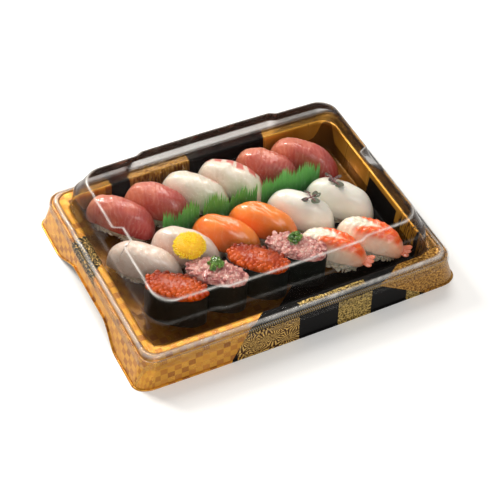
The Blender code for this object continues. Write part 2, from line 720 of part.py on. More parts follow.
def build_flower(material):
    """A chrysanthemum head: a narrow base, a scalloped widest ring and a low domed top."""
    x, y = FLOWER_CENTRE
    rings = []
    for reach, rise, scallop in FLOWER_LEVELS:
        ring = []
        for step in range(FLOWER_PETALS):
            angle = 2.0 * math.pi * step / FLOWER_PETALS
            radius = FLOWER_RADIUS * reach * (1.0 + scallop * (1.0 if step % 2 else -0.6))
            height = FLOWER_BASE + (FLOWER_TOP - FLOWER_BASE) * rise
            ring.append((x + radius * math.cos(angle), y + radius * math.sin(angle), height))
        rings.append(ring)
    return add_object("chrysanthemum", ring_shell(rings), material, 60.0)


def grass_top(x):
    """Height of the grass at x: the highest of the slopes that fall away from the groups' peaks."""
    return max(height - GRASS_FALL * abs(x - peak) for peak, height in GRASS_PEAKS)


def build_grass(name, x_first, x_last, y_line, blades, material):
    """Plastic grass: a thin upright sheet, cut into pointed blades along its upper edge."""
    mesh_data = bmesh.new()
    columns = 2 * blades + 1
    skins = []
    for side in (-0.5, 0.5):
        skin = []
        for column in range(columns):
            share = column / (columns - 1)
            x = x_first + (x_last - x_first) * share
            y = y_line + GRASS_BOW * math.sin(share * math.pi * 3.0) + side * GRASS_WALL
            tall = grass_top(x) - (0.0 if column % 2 == 1 else GRASS_CUT)
            skin.append([mesh_data.verts.new((x, y, REST + rise)) for rise in (0.0, GRASS_FOOT, tall)])
        skins.append(skin)
    for column in range(columns - 1):
        for row in range(2):
            for order, skin in enumerate(skins):
                corners = (skin[column][row], skin[column + 1][row], skin[column + 1][row + 1],
                           skin[column][row + 1])
                for triple in ((0, 1, 2), (0, 2, 3)):
                    picked = [corners[index] for index in triple]
                    mesh_data.faces.new(picked if order == 0 else picked[::-1])
        for row in (0, 2):
            mesh_data.faces.new((skins[0][column][row], skins[0][column + 1][row],
                                 skins[1][column + 1][row], skins[1][column][row]))
    for column in (0, columns - 1):
        for row in range(2):
            mesh_data.faces.new((skins[0][column][row], skins[0][column][row + 1],
                                 skins[1][column][row + 1], skins[1][column][row]))
    return add_object(name, mesh_data, material, 30.0)


def leaf_bit(centre, long_half, short_half, turn):
    """A small round leaf with a notched tip: a thin wavy lens with both faces split alike."""
    mesh_data = bmesh.new()
    steps = 7
    top = mesh_data.verts.new(centre + Vector((0.0, 0.0, 0.45)))
    bottom = mesh_data.verts.new(centre - Vector((0.0, 0.0, 0.45)))
    edge = []
    for step in range(steps):
        angle = 2.0 * math.pi * step / steps
        notch = 1.0 - 0.28 * max(0.0, math.cos(angle)) ** 8.0
        along = long_half * notch * math.cos(angle)
        across = short_half * math.sin(angle)
        x = along * math.cos(turn) - across * math.sin(turn)
        y = along * math.sin(turn) + across * math.cos(turn)
        edge.append(mesh_data.verts.new(centre + Vector((x, y, 0.35 * math.sin(2.0 * angle)))))
    for step in range(steps):
        after = (step + 1) % steps
        mesh_data.faces.new((edge[step], edge[after], top))
        mesh_data.faces.new((edge[after], edge[step], bottom))
    return mesh_data


def stem_bit(start, end, roll):
    """A thin five-sided bar between two points, rolled about itself."""
    mesh_data = bmesh.new()
    way = end - start
    bmesh.ops.create_cone(mesh_data, cap_ends=True, cap_tris=True, segments=5, radius1=STEM_RADIUS,
                          radius2=STEM_RADIUS, depth=way.length)
    turn = way.to_track_quat("Z", "Y").to_matrix() @ Matrix.Rotation(roll, 3, "Z")
    for vertex in mesh_data.verts:
        vertex.co = (start + end) / 2.0 + turn @ vertex.co
    return mesh_data


def build_sprout(name, place, leaves, material):
    """A cress sprout lying on the slice: a small knot with stems, and a leaf at the end of each."""
    axis = math.radians(SPROUT_TURN)
    right = Vector((math.cos(axis), math.sin(axis), 0.0))
    front = Vector((math.sin(axis), -math.cos(axis), 0.0))
    middle = Vector(place)
    knot = bmesh.new()
    bmesh.ops.create_uvsphere(knot, u_segments=6, v_segments=4, radius=KNOT_RADIUS)
    bmesh.ops.translate(knot, vec=middle, verts=knot.verts)
    item = add_object(name, knot, material)
    bits = []
    for index, (to_right, to_front, long_half, short_half, turn) in enumerate(leaves):
        centre = middle + right * to_right + front * to_front
        bits.append(stem_bit(middle, centre, 0.3 * index))
        bits.append(leaf_bit(centre, long_half, short_half, axis + math.radians(turn)))
    fuse(item, bits)


def main():
    clear_scene()
    gloss = {"nori": 0.45, "grass": 0.35, "sprout": 0.5, "flower": 0.7, "rice": 0.55}
    materials = {kind: make_material(kind, colour, gloss.get(kind, 0.3)) for kind, colour in
                 COLOURS.items() if kind not in ("tray", "lid")}
    build_tray()
    build_lid()
    for index, row in enumerate(NIGIRI):
        build_nigiri(*row, seed=1.0 + 1.9 * index, materials=materials)
    for index, row in enumerate(GUNKAN):
        build_gunkan(*row, seed=2.0 + 1.3 * index, materials=materials)
        if row[1] == "negitoro":
            build_onion(row[0], piece_frame(*row[2:]), materials["onion"], 3.0 + index)
    build_flower(materials["flower"])
    for row in GRASS:
        build_grass(*row, material=materials["grass"])
    pieces = {row[0]: row for row in NIGIRI}
    for name, below, along, across, leaves in SPROUTS:
        _, _, x, y, turn, _, _, height = pieces[below]
        place = (*piece_frame(x, y, turn)(along, across), REST + height + SPROUT_RISE)
        build_sprout(name, place, leaves, materials["sprout"])


main()
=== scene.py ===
"""Takeaway sushi tray: the printed tray, the clear lid and eighteen pieces of sushi, in full detail.

Lengths in the formulas are millimetres in the tray's own frame, X along the long front side, Y to
the back and Z up, and become metres where a mesh is made.
"""

import math

import bmesh
import bpy
import numpy as np
from bpy.props import FloatProperty, FloatVectorProperty, IntProperty, PointerProperty
from mathutils import Matrix, Vector


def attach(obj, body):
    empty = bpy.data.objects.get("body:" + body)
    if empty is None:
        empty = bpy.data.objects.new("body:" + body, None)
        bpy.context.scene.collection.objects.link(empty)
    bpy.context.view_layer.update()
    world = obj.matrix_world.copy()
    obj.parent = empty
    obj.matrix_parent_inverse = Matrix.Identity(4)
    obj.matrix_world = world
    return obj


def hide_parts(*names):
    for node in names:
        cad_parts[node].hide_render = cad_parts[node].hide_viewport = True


bl_info = {
    "name": "Takeaway sushi tray",
    "version": (1, 0, 0),
    "blender": (4, 5, 0),
    "location": "3D View > Sidebar > Sushi tray",
    "description": "Builds the tray, the lid and the sushi round the packed frame",
    "category": "Object",
}

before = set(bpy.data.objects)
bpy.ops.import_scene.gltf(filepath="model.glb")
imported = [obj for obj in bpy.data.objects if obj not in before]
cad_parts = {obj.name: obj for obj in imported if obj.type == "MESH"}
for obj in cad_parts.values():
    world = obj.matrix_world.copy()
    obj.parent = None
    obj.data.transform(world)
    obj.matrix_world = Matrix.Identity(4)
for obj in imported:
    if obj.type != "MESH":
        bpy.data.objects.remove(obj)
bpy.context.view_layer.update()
BODY = "root"
MM = 0.001

# Tray and lid, as the frame has them
LID_HALF_X = 150.0
LID_HALF_Y = 110.0
LONG_SIDE_BOW = 1.2
SKIRT_TOP = 21.0
SKIRT_FLARE_X = 6.4
SKIRT_FLARE_Y = 1.5
SKIRT_LIP = 1.2
SKIRT_INSET = 0.9
SKIRT_TOP_RADIUS = 14.0
FOOT_RADIUS = 10.0
ARCH_SHARE = 0.56
ARCH_START = 0.17
ARCH_END = 0.35
SHOULDER = 31.4
RIDGE = 32.4
RIM = 29.4
GROOVE = 27.9
FLOOR_HEIGHT = 1.2
REST = 1.55
TRAY_WALL = 0.8
LID_WALL = 0.5
BULGE = 3.2
NOTCH = 8.0
# Rings of the skirt below its top, as shares of its depth
SKIRT_DEPTHS = (0.12, 0.3, 0.5, 0.7, 0.85, 0.95)
# How strongly the lid's walls are darkened edge-on, a painted dark reflection set per side: back and right,
# then front and left
PAINTED_REFLECTION_BACK_RIGHT = (1.0, 0.8)
PAINTED_REFLECTION_FRONT_LEFT = (0.04, 0.16)

# The tray from its floor out to the skirt: inset, height, corner radius
TRAY_PROFILE = ((45.0, FLOOR_HEIGHT, 16.0), (20.0, FLOOR_HEIGHT, 16.0), (17.8, FLOOR_HEIGHT + 1.2, 17.0),
                (15.8, SHOULDER - 1.4, 15.0), (14.6, SHOULDER, 14.5), (8.4, SHOULDER, 12.0),
                (7.2, RIDGE, 12.0), (5.8, RIDGE, 12.0), (3.4, GROOVE, 12.5), (2.0, RIM, 13.0),
                (1.3, RIM, 13.5), (0.9, SKIRT_TOP, SKIRT_TOP_RADIUS))
# The lid on its inner side: inset, height, corner radius, bulge and notch shares, then how whitened
# at its bend (partly stress-whitening, partly painted highlight line), how much a wall and how ribbed it is
LID_PROFILE = (
    (0.55, 21.5, 14.0, 0, 0, 0.3, 0, 1), (0.75, 29.95, 14.0, 0, 0, 0.2, 0, 1),
    (2.1, 29.95, 13.0, 0, 0, 0.7, 0, 0), (3.4, 28.75, 12.5, 0, 0, 0.1, 0, 0),
    (5.4, 32.95, 12.0, 0, 0, 0.9, 0, 0), (7.5, 32.95, 12.0, 0, 0, 0.5, 0, 0),
    (8.8, 31.85, 12.0, 0, 0, 0.0, 0, 0), (14.6, 31.85, 14.5, 0, 0, 0.0, 0, 0),
    (15.1, 32.6, 15.5, 0.1, 0, 0.3, 0.6, 0), (15.5, 35.5, 16.0, 0.3, 0, 0.0, 1, 0),
    (17.2, 50.4, 18.0, 0.8, 0, 0.0, 1, 0), (17.4, 52.0, 18.0, 0.8, 0, 0.36, 1, 0),
    (19.0, 53.2, 18.0, 0.9, 0, 0.36, 1, 0), (19.7, 54.8, 18.0, 0.9, 0.1, 0.0, 1, 0),
    (24.6, 66.2, 18.0, 1.0, 0.9, 0.0, 1, 0), (25.4, 68.0, 18.0, 1.0, 1, 0.3, 0.8, 0),
    (26.1, 69.3, 18.0, 1.0, 1, 1.0, 0.5, 0), (27.4, 70.0, 18.0, 1.0, 1, 0.4, 0, 0),
    (29.0, 70.0, 18.0, 1.0, 1, 0.0, 0, 0), (36.0, 70.0, 18.0, 1.0, 1, 0.0, 0, 0))

# Nigiri: name, kind, centre x and y, turn from +X, length, width, height, as the frame has them
NIGIRI = (
    ("tuna_1", "tuna", -94.5, 64.5, -47.0, 67.0, 27.2, 38.0),
    ("tuna_2", "tuna", -57.5, 65.7, -47.0, 67.0, 27.2, 39.5),
    ("bream_1", "bream", -20.0, 65.7, -49.0, 66.0, 27.0, 38.0),
    ("bream_2", "bream", 16.5, 65.1, -50.0, 67.0, 27.2, 39.5),
    ("tuna_3", "tuna", 53.5, 65.5, -50.0, 66.0, 27.2, 39.0),
    ("tuna_4", "tuna", 90.5, 62.5, -51.0, 70.0, 27.4, 40.0),
    ("flounder_1", "flounder", -97.5, 5.0, -44.0, 69.0, 27.4, 38.5),
    ("flounder_2", "flounder", -57.5, 5.5, -46.0, 67.0, 27.2, 39.0),
    ("salmon_1", "salmon", -18.5, 4.5, -48.0, 67.0, 27.2, 38.5),
    ("salmon_2", "salmon", 19.0, 5.0, -48.0, 67.0, 27.4, 39.0),
    ("squid_1", "squid", 57.0, 5.0, -49.0, 66.0, 27.2, 38.5),
    ("squid_2", "squid", 95.5, 2.5, -50.0, 69.0, 27.6, 40.0),
    ("shrimp_1", "shrimp", 62.0, -46.5, -48.0, 63.0, 26.4, 35.5),
    ("shrimp_2", "shrimp", 98.5, -49.5, -48.0, 63.0, 26.8, 36.5),
)
# How low each kind of slice hangs at its ends and sides, its thickness, its lips and its end form
TOPPING = {
    "tuna": (8.5, 14.0, 6.0, 3.0, 7.5, 2.5),
    "bream": (9.5, 12.0, 5.0, 2.8, 7.0, 2.6),
    "flounder": (7.5, 11.5, 5.0, 2.8, 7.0, 2.3),
    "salmon": (7.5, 13.0, 6.0, 3.0, 7.5, 2.4),
    "squid": (8.0, 10.5, 5.5, 2.8, 7.0, 2.5),
    "shrimp": (12.5, 15.0, 6.5, 3.2, 6.5, 2.3),
}
SLICE_WORD = {"squid": "sheet", "shrimp": "body"}
FIN_TURNS = (-26.0, 2.0, 28.0)
# What the relief and the colour of a slice share: the tuna's cut lines, the shrimp's two orange arms
# (how far out at the middle, how fast they close) and its stripes
TUNA_SLANT = (0.94, 0.42)
TUNA_BAND = 4.2
SHRIMP_ARM = (7.4, 0.26)
SHRIMP_STRIPE = 6.0

GUNKAN = (
    ("gunkan_1", "ikura", -90.5, -44.5, -41.0),
    ("gunkan_2", "negitoro", -52.0, -44.0, -42.0),
    ("gunkan_3", "ikura", -12.5, -44.5, -43.0),
    ("gunkan_4", "negitoro", 25.0, -45.0, -43.0),
)
GUNKAN_HALF_LENGTH = 28.0
GUNKAN_HALF_WIDTH = 14.0
GUNKAN_SQUARE = 2.2
NORI_TOP = 34.55
HEAP_FOOT = 28.9
HEAP_TOP = 40.3
ONION_PLACE = (-2.0, 3.0)

FLOWER_CENTRE = (-62.5, -11.5, 38.0)
FLOWER_RADIUS = 15.2
FLOWER_HEIGHT = 14.4

# Grass: name, first and last x and line y; then x and height of the peak of each group of blades, and
# the fall to each side of a peak for a millimetre along
GRASS = (("grass_1", -66.0, -30.0, 35.8), ("grass_2", -26.0, 28.0, 35.8), ("grass_3", 32.0, 92.0, 34.8))
GRASS_PEAKS = ((-64.0, 43.0), (-39.0, 46.0), (-15.7, 47.0), (11.6, 43.0), (35.0, 46.0), (55.0, 51.0),
               (76.0, 51.0), (90.0, 44.0))
GRASS_FALL = 0.85

# Sprouts: name, piece below, place along and across it; each leaf's place to the right and to the
# front of the middle, half length, half width, turn, and how purple it is
SPROUTS = (
    ("sprout_1", "squid_1", 8.5, 0.5, (
        (4.4, -3.9, 4.3, 3.8, 60.0, 0.0), (3.8, 4.8, 4.3, 3.9, -70.0, 0.0),
        (-5.7, 3.9, 3.9, 2.7, -130.0, 0.8), (-4.4, -6.7, 3.7, 1.2, 160.0, 0.6))),
    ("sprout_2", "squid_2", -6.6, -0.6, (
        (4.7, 4.3, 4.5, 4.1, -60.0, 0.2), (-2.5, -1.7, 3.6, 3.0, -110.0, 1.0),
        (-5.7, -7.8, 4.2, 1.7, 150.0, 0.8), (3.8, -6.5, 4.0, 1.8, 30.0, 1.0))),
)
SPROUT_TURN = -30.0
SPROUT_RISE = 1.6

# Fields of the print, by first and last x: on the front skirt and on the back
SKIRT_FIELDS = ((-64.0, -5.0, "pine"), (33.0, 66.0, "speckle"), (102.0, 116.0, "speckle"))
BACK_FIELDS = ((-90.0, -72.0, "ink"), (-72.0, -12.0, "glitter"), (-12.0, 66.0, "ink"))

# Lights: name, place and size in metres, colour
LIGHTS = (
    ("key", (-0.55, 1.20, 0.95), (0.5, 0.4), (1.0, 0.95, 0.88)),
    ("fill", (-0.25, -1.25, 1.0), (1.0, 0.8), (1.0, 0.97, 0.93)),
    ("top", (0.30, 0.85, 1.30), (0.7, 0.6), (1.0, 0.96, 0.90)),
)
LIGHTS_FACE = (0.0, 0.0, 0.03)
WORLD_COLOUR = (0.95, 0.95, 0.94, 1.0)
WORLD_STRENGTH = 0.45
FLOOR_HALF = 4.0
SENSOR_WIDTH = 36.0
FOCAL_LENGTH = 113.58

GOLDEN_ANGLE = math.radians(137.508)
ANY_TURN = (0.0, 6.28)


# Settings: the sizes and colours of the pieces


def tone(red, green, blue):
    """A colour given as 0 to 255 on screen, as Blender's linear red, green, blue, alpha."""
    shares = [value / 255.0 for value in (red, green, blue)]
    return (*[v / 12.92 if v <= 0.04045 else ((v + 0.055) / 1.055) ** 2.4 for v in shares], 1.0)


def colour_setting(name, red, green, blue):
    return FloatVectorProperty(name=name, description=name + " colour", subtype="COLOR", size=4, min=0.0,
                               max=1.0, default=tone(red, green, blue))


def length_setting(name, millimetres):
    return FloatProperty(name=name, description=name + " in metres", unit="LENGTH", min=0.0,
                         default=millimetres * MM)


def count_setting(name, count):
    return IntProperty(name=name, description="Number of " + name.lower(), min=1, max=2000, default=count)


def angle_setting(name, degrees):
    return FloatProperty(name=name, description=name + " of the camera", subtype="ANGLE", unit="ROTATION",
                         default=math.radians(degrees))


def power_setting(name, watts):
    return FloatProperty(name=name, description=name + " light in watts", unit="POWER", min=0.0,
                         default=watts)


class TraySettings(bpy.types.PropertyGroup):
    square: length_setting("Square", 6.4)
    needle_fan: length_setting("Needle fan", 15.0)
    gold: colour_setting("Gold", 184, 128, 36)
    gold_light: colour_setting("Light gold", 206, 150, 60)
    brown: colour_setting("Brown", 182, 104, 46)
    brown_dark: colour_setting("Dark brown", 132, 74, 30)
    ink: colour_setting("Black", 7, 6, 6)
    stroke: colour_setting("Needle stroke", 224, 182, 100)
    stroke_ground: colour_setting("Needle ground", 58, 32, 14)
    speckle: colour_setting("Speckle", 190, 160, 88)
    speckle_ground: colour_setting("Speckle ground", 56, 42, 14)
    glitter: colour_setting("Glitter", 198, 148, 68)
    glitter_ground: colour_setting("Glitter ground", 96, 58, 16)


class LidSettings(bpy.types.PropertyGroup):
    rib: length_setting("Rib pitch", 1.3)
    clear: colour_setting("Clear film", 251, 251, 251)
    # Dark film colour: the painted dark reflection on the walls seen edge-on, and the ground under the film's
    # gloss
    painted_dark_reflection: colour_setting("Film seen edge-on", 58, 45, 40)
    # White of the bends: partly stress-whitened film, partly painted highlight lines
    bent: colour_setting("Bent film", 255, 252, 247)


class NigiriSettings(bpy.types.PropertyGroup):
    grain_length: length_setting("Rice grain length", 5.8)
    grain_width: length_setting("Rice grain width", 2.3)
    grains: count_setting("Grains on a piece", 230)
    # Pale end: painted light on the end toward the key; deep: the far end's painted shade and the dark grain
    # between the cut lines
    tuna_painted_light: colour_setting("Tuna, pale end", 224, 142, 106)
    tuna: colour_setting("Tuna", 200, 92, 72)
    tuna_deep_and_painted_shade: colour_setting("Tuna, deep", 164, 50, 50)
    tuna_sinew: colour_setting("Tuna sinew", 232, 168, 146)
    salmon: colour_setting("Salmon", 250, 138, 48)
    salmon_deep: colour_setting("Salmon, deep", 240, 112, 40)
    salmon_fat: colour_setting("Salmon fat", 250, 184, 126)
    bream: colour_setting("Bream", 240, 230, 212)
    bream_clear: colour_setting("Bream, clear", 222, 208, 188)
    flounder: colour_setting("Flounder", 242, 220, 204)
    flounder_clear: colour_setting("Flounder, clear", 222, 198, 180)
    blood: colour_setting("Blood line", 206, 84, 70)
    blush: colour_setting("Blush", 216, 136, 118)
    squid: colour_setting("Squid", 240, 237, 226)
    squid_shade: colour_setting("Squid, shaded", 220, 214, 200)
    shrimp: colour_setting("Shrimp", 246, 92, 26)
    shrimp_light: colour_setting("Shrimp, light", 250, 134, 62)
    shrimp_white: colour_setting("Shrimp flesh", 244, 230, 208)
    shrimp_pink: colour_setting("Shrimp tail", 232, 124, 92)
    rice: colour_setting("Rice", 238, 228, 208)
    rice_shade: colour_setting("Rice, shaded", 212, 194, 166)


class GunkanSettings(bpy.types.PropertyGroup):
    egg: length_setting("Egg radius", 2.55)
    eggs: count_setting("Eggs", 120)
    lumps: count_setting("Lumps of tuna", 54)
    rings: count_setting("Onion rings", 32)
    nori: colour_setting("Seaweed", 11, 13, 11)
    nori_light: colour_setting("Seaweed, light", 30, 36, 28)
    roe: colour_setting("Roe", 206, 82, 4)
    roe_deep: colour_setting("Roe, deep", 170, 50, 2)
    roe_painted_shade: colour_setting("Roe, dark", 96, 20, 6)
    mince: colour_setting("Minced tuna", 190, 104, 98)
    mince_light: colour_setting("Minced tuna, light", 222, 160, 148)
    mince_fat: colour_setting("Minced tuna, fat", 240, 212, 196)
    mince_dark: colour_setting("Minced tuna, dark", 142, 48, 52)
    onion: colour_setting("Onion", 48, 96, 26)
    onion_light: colour_setting("Onion, light", 124, 164, 68)


class GarnishSettings(bpy.types.PropertyGroup):
    petals: count_setting("Petals", 760)
    tooth: length_setting("Grass blade pitch", 2.3)
    petal: colour_setting("Petal tip", 255, 226, 30)
    petal_root: colour_setting("Petal root", 246, 180, 10)
    grass: colour_setting("Grass", 50, 138, 66)
    grass_light: colour_setting("Grass tip", 118, 198, 90)
    leaf: colour_setting("Leaf", 74, 80, 60)
    leaf_purple: colour_setting("Purple leaf", 58, 30, 38)
    stem: colour_setting("Stem", 132, 84, 84)


class StageSettings(bpy.types.PropertyGroup):
    floor: colour_setting("Floor", 250, 250, 250)
    key: power_setting("Key", 25.0)
    fill: power_setting("Fill", 11.0)
    top: power_setting("Top", 11.0)
    azimuth: angle_setting("Azimuth", -29.627)
    elevation: angle_setting("Elevation", 46.778)
    roll: angle_setting("Roll", 4.004)
    distance: length_setting("Camera distance", 1422.4)
    side: length_setting("Camera shift to the left", 3.739)
    rise: length_setting("Camera shift down", 0.501)


class SushiSettings(bpy.types.PropertyGroup):
    tray: PointerProperty(type=TraySettings)
    lid: PointerProperty(type=LidSettings)
    nigiri: PointerProperty(type=NigiriSettings)
    gunkan: PointerProperty(type=GunkanSettings)
    garnish: PointerProperty(type=GarnishSettings)
    stage: PointerProperty(type=StageSettings)


# Shader sheets: sockets with arithmetic, and one method for every other node


class Value:
    """A number socket; arithmetic on it adds Math nodes to its sheet."""

    def __init__(self, sheet, socket):
        self.sheet = sheet
        self.socket = socket

    def maths(self, operation, *others, clamp=False):
        settings = dict(operation=operation, use_clamp=clamp)
        return self.sheet.node("ShaderNodeMath", settings, dict(enumerate((self, *others))))

    def __add__(self, other):
        return self.maths("ADD", other)

    def __sub__(self, other):
        return self.maths("SUBTRACT", other)

    def __rsub__(self, other):
        return self.maths("MULTIPLY_ADD", -1.0, other)

    def __mul__(self, other):
        return self.maths("MULTIPLY", other)

    def __truediv__(self, other):
        return self.maths("DIVIDE", other)

    def __pow__(self, other):
        return self.maths("POWER", other)

    __radd__ = __add__
    __rmul__ = __mul__

    def above(self, limit, soft=0.0):
        """1 where the value is over the limit, with a soft step of that half width."""
        if not soft:
            return self.maths("GREATER_THAN", limit)
        return (self - limit).maths("MULTIPLY_ADD", 0.5 / soft, 0.5, clamp=True)

    def below(self, limit, soft=0.0):
        return 1.0 - self.above(limit, soft)

    def between(self, low, high, soft=0.0):
        return self.above(low, soft) * self.below(high, soft)

    def waves(self, length):
        """A sine of the value with that wave length."""
        return (self * (2.0 * math.pi / length)).maths("SINE")

    def size(self):
        return self.maths("ABSOLUTE")

    def most(self, other):
        return self.maths("MAXIMUM", other)

    def clamped(self):
        return self.maths("MULTIPLY", 1.0, clamp=True)


class Sheet:
    """A material's node tree, built by expressions."""

    def __init__(self, name):
        self.material = bpy.data.materials.new(name)
        self.material.use_nodes = True
        self.nodes = self.material.node_tree.nodes
        self.links = self.material.node_tree.links
        self.shader = self.nodes["Principled BSDF"]
        self.output = self.nodes["Material Output"]

    def node(self, kind, settings=None, inputs=None, output=0):
        made = self.nodes.new(kind)
        for key, value in (settings or {}).items():
            setattr(made, key, value)
        for key, value in (inputs or {}).items():
            self.plug(made.inputs[key], value)
        return Value(self, made.outputs[output])

    def plug(self, socket, value):
        if isinstance(value, Value):
            self.links.new(value.socket, socket)
        else:
            socket.default_value = value

    def set(self, **values):
        for key, value in values.items():
            self.plug(self.shader.inputs[key.replace("_", " ")], value)
        return self.material

    def object_place(self):
        """Object coordinates in millimetres, as one vector."""
        return self.scaled(self.node("ShaderNodeTexCoord", output="Object"), 1000.0)

    def own_place(self):
        """The piece's own UV map in millimetres, as one vector."""
        return self.scaled(self.node("ShaderNodeUVMap", dict(uv_map="own")), 1000.0)

    def scaled(self, vector, factor):
        return self.node("ShaderNodeVectorMath", dict(operation="SCALE"), {0: vector, "Scale": factor})

    def between_vectors(self, operation, first, second):
        return self.node("ShaderNodeVectorMath", dict(operation=operation), {0: first, 1: second})

    def parts(self, vector):
        """The x, y and z of a vector."""
        split = self.node("ShaderNodeSeparateXYZ", inputs={0: vector}).socket.node
        return [Value(self, socket) for socket in split.outputs]

    def joined(self, x, y, z=0.0):
        return self.node("ShaderNodeCombineXYZ", inputs={0: x, 1: y, 2: z})

    def noise(self, vector, scale, detail=3.0, roughness=0.55):
        return self.node("ShaderNodeTexNoise", None,
                         {"Vector": vector, "Scale": scale, "Detail": detail, "Roughness": roughness})

    def cells(self, vector, scale, output=0):
        return self.node("ShaderNodeTexVoronoi", None, {"Vector": vector, "Scale": scale}, output)

    def mark(self, name):
        """A float attribute of the piece."""
        return self.node("ShaderNodeAttribute", dict(attribute_name=name), output="Fac")

    def mix(self, share, first, second, blend="MIX"):
        """The first colour where share is 0, the second where it is 1."""
        settings = dict(data_type="RGBA", clamp_factor=True, blend_type=blend)
        return self.node("ShaderNodeMix", settings, {0: share, 6: first, 7: second}, 2)

    def patches(self, scale, soft, first, second):
        """Soft patches of two colours: the noise behind them, and the mixed colour."""
        shade = self.noise(self.object_place(), scale, 2.0)
        return shade, self.mix(shade.above(0.5, soft), first, second)

    def bump(self, height, distance):
        return self.node("ShaderNodeBump", None, {"Height": height, "Distance": distance * MM})


# Mesh making: surfaces worked out as whole arrays


class Pile:
    """Parts of one mesh, gathered as arrays: points, faces, own flat places and marks."""

    def __init__(self):
        self.points, self.faces, self.own, self.marks = [], [], [], []
        self.count = 0

    def add(self, points, faces, own=None, **marks):
        points = np.asarray(points, float)
        self.points.append(points)
        self.faces += [[index + self.count for index in face] for face in faces]
        self.own.append(points[:, :2] if own is None else np.asarray(own, float))
        self.marks.append({key: np.broadcast_to(value, len(points)) for key, value in marks.items()})
        self.count += len(points)

    def add_rows(self, rows, own=None, **marks):
        """A closed skin of rings, from the middle of the first row to the middle of the last."""
        marks = {key: with_poles(np.asarray(value)[..., None])[:, 0] if np.ndim(value) else value
                 for key, value in marks.items()}
        self.add(with_poles(rows), ring_faces(*rows.shape[:2]), None if own is None else with_poles(own),
                 **marks)

    def make(self, name, node, material, sharp=None):
        """The mesh object in metres, in the place of one of the frame's nodes."""
        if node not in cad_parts:
            raise RuntimeError(f"{name} has no node {node} to stand for")
        mesh = bpy.data.meshes.new(name)
        mesh.from_pydata(np.vstack(self.points) * MM, [], self.faces)
        corners = np.empty(len(mesh.loops), np.int32)
        mesh.loops.foreach_get("vertex_index", corners)
        mesh.uv_layers.new(name="own").data.foreach_set("uv", (np.vstack(self.own) * MM)[corners].ravel())
        for key in {key for marks in self.marks for key in marks}:
            parts = [marks.get(key, np.zeros(len(points))) for marks, points in zip(self.marks, self.points)]
            mesh.attributes.new(key, "FLOAT", "POINT").data.foreach_set("value", np.concatenate(parts))
        work = bmesh.new()
        work.from_mesh(mesh)
        bmesh.ops.recalc_face_normals(work, faces=work.faces)
        work.to_mesh(mesh)
        work.free()
        mesh.shade_smooth()
        if sharp is not None:
            mesh.set_sharp_from_angle(angle=math.radians(sharp))
        mesh.materials.append(material)
        item = bpy.data.objects.new(name, mesh)
        bpy.context.scene.collection.objects.link(item)
        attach(item, BODY)
        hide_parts(node)
        return item


def build(name, node, slot, material, sharp, add, *values):
    """One piece, filled by one of the add functions."""
    pile = Pile()
    add(pile, *values)
    return pile.make(name, node, material, sharp)


def ring_faces(rows, columns):
    """Quads of a grid whose columns wrap round, and the two fans that close its first and last row."""
    row, column = np.meshgrid(np.arange(rows - 1), np.arange(columns), indexing="ij")
    after = (column + 1) % columns
    quads = np.stack([row * columns + column, row * columns + after, (row + 1) * columns + after,
                      (row + 1) * columns + column], axis=-1).reshape(-1, 4).tolist()
    around = np.arange(columns)
    ahead = (around + 1) % columns
    base = (rows - 1) * columns
    quads += np.stack([ahead, around, np.full(columns, rows * columns)], axis=-1).tolist()
    quads += np.stack([base + around, base + ahead, np.full(columns, rows * columns + 1)], axis=-1).tolist()
    return quads


def wrapped_faces(rows, columns):
    """Quads of a grid that wraps round both ways, as on a ring."""
    row, column = np.meshgrid(np.arange(rows), np.arange(columns), indexing="ij")
    down, after = (row + 1) % rows, (column + 1) % columns
    return np.stack([row * columns + column, row * columns + after, down * columns + after,
                     down * columns + column], axis=-1).reshape(-1, 4).tolist()


def with_poles(rows):
    """A (rows, columns, n) array as a list of points, with the means of the first and last row added."""
    return np.vstack([rows.reshape(-1, rows.shape[-1]), rows[0].mean(axis=0), rows[-1].mean(axis=0)])


def ripple(points, length, seed, waves=14):
    """A soft random field: the mean of plane waves of about the given length, each its own way."""
    draw = np.random.default_rng(seed)
    ways = draw.normal(size=(waves, 3))
    ways /= np.linalg.norm(ways, axis=1, keepdims=True)
    ways *= 2.0 * math.pi / (length * draw.uniform(0.7, 1.5, (waves, 1)))
    phases = draw.uniform(0.0, 2.0 * math.pi, waves)
    return np.sin(points @ ways.T + phases).sum(axis=-1) / math.sqrt(waves / 2.0) * 0.5


def turned(along, across, place):
    """Own (along, across) in the tray's x and y, for a place (x, y, turn in degrees)."""
    x, y, turn = place
    cosine, sine = math.cos(math.radians(turn)), math.sin(math.radians(turn))
    return x + along * cosine - across * sine, y + along * sine + across * cosine


def laid(along, across, height, place):
    """Own (along, across) and heights as an array of points."""
    x, y = turned(along, across, place)
    return np.stack(np.broadcast_arrays(x, y, height), axis=-1)


def circle(count):
    return np.linspace(0.0, 2.0 * math.pi, count, endpoint=False)


def oval(angles, half_length, half_width, square):
    """Superellipse points: square 2 is an ellipse, more is boxier."""
    cosine, sine = np.cos(angles), np.sin(angles)
    power = 2.0 / square
    return (half_length * np.copysign(np.abs(cosine) ** power, cosine),
            half_width * np.copysign(np.abs(sine) ** power, sine))


def waver(seed, angles):
    return np.sin(2.0 * angles + seed) + 0.6 * np.sin(3.0 * angles + 1.7 * seed)


def smooth_step(low, high, values):
    share = np.clip((values - low) / (high - low), 0.0, 1.0)
    return share * share * (3.0 - 2.0 * share)


def copies(points, faces, centres, frames, sizes):
    """Copies of a small shape, each sized, turned by a 3x3 frame and moved: all as one array."""
    placed = np.einsum("nij,nvj->nvi", frames, points[None] * sizes[:, None, :]) + centres[:, None, :]
    shifts = (np.arange(len(centres)) * len(points)).tolist()
    return placed.reshape(-1, 3), [[index + shift for index in face] for shift in shifts for face in faces]


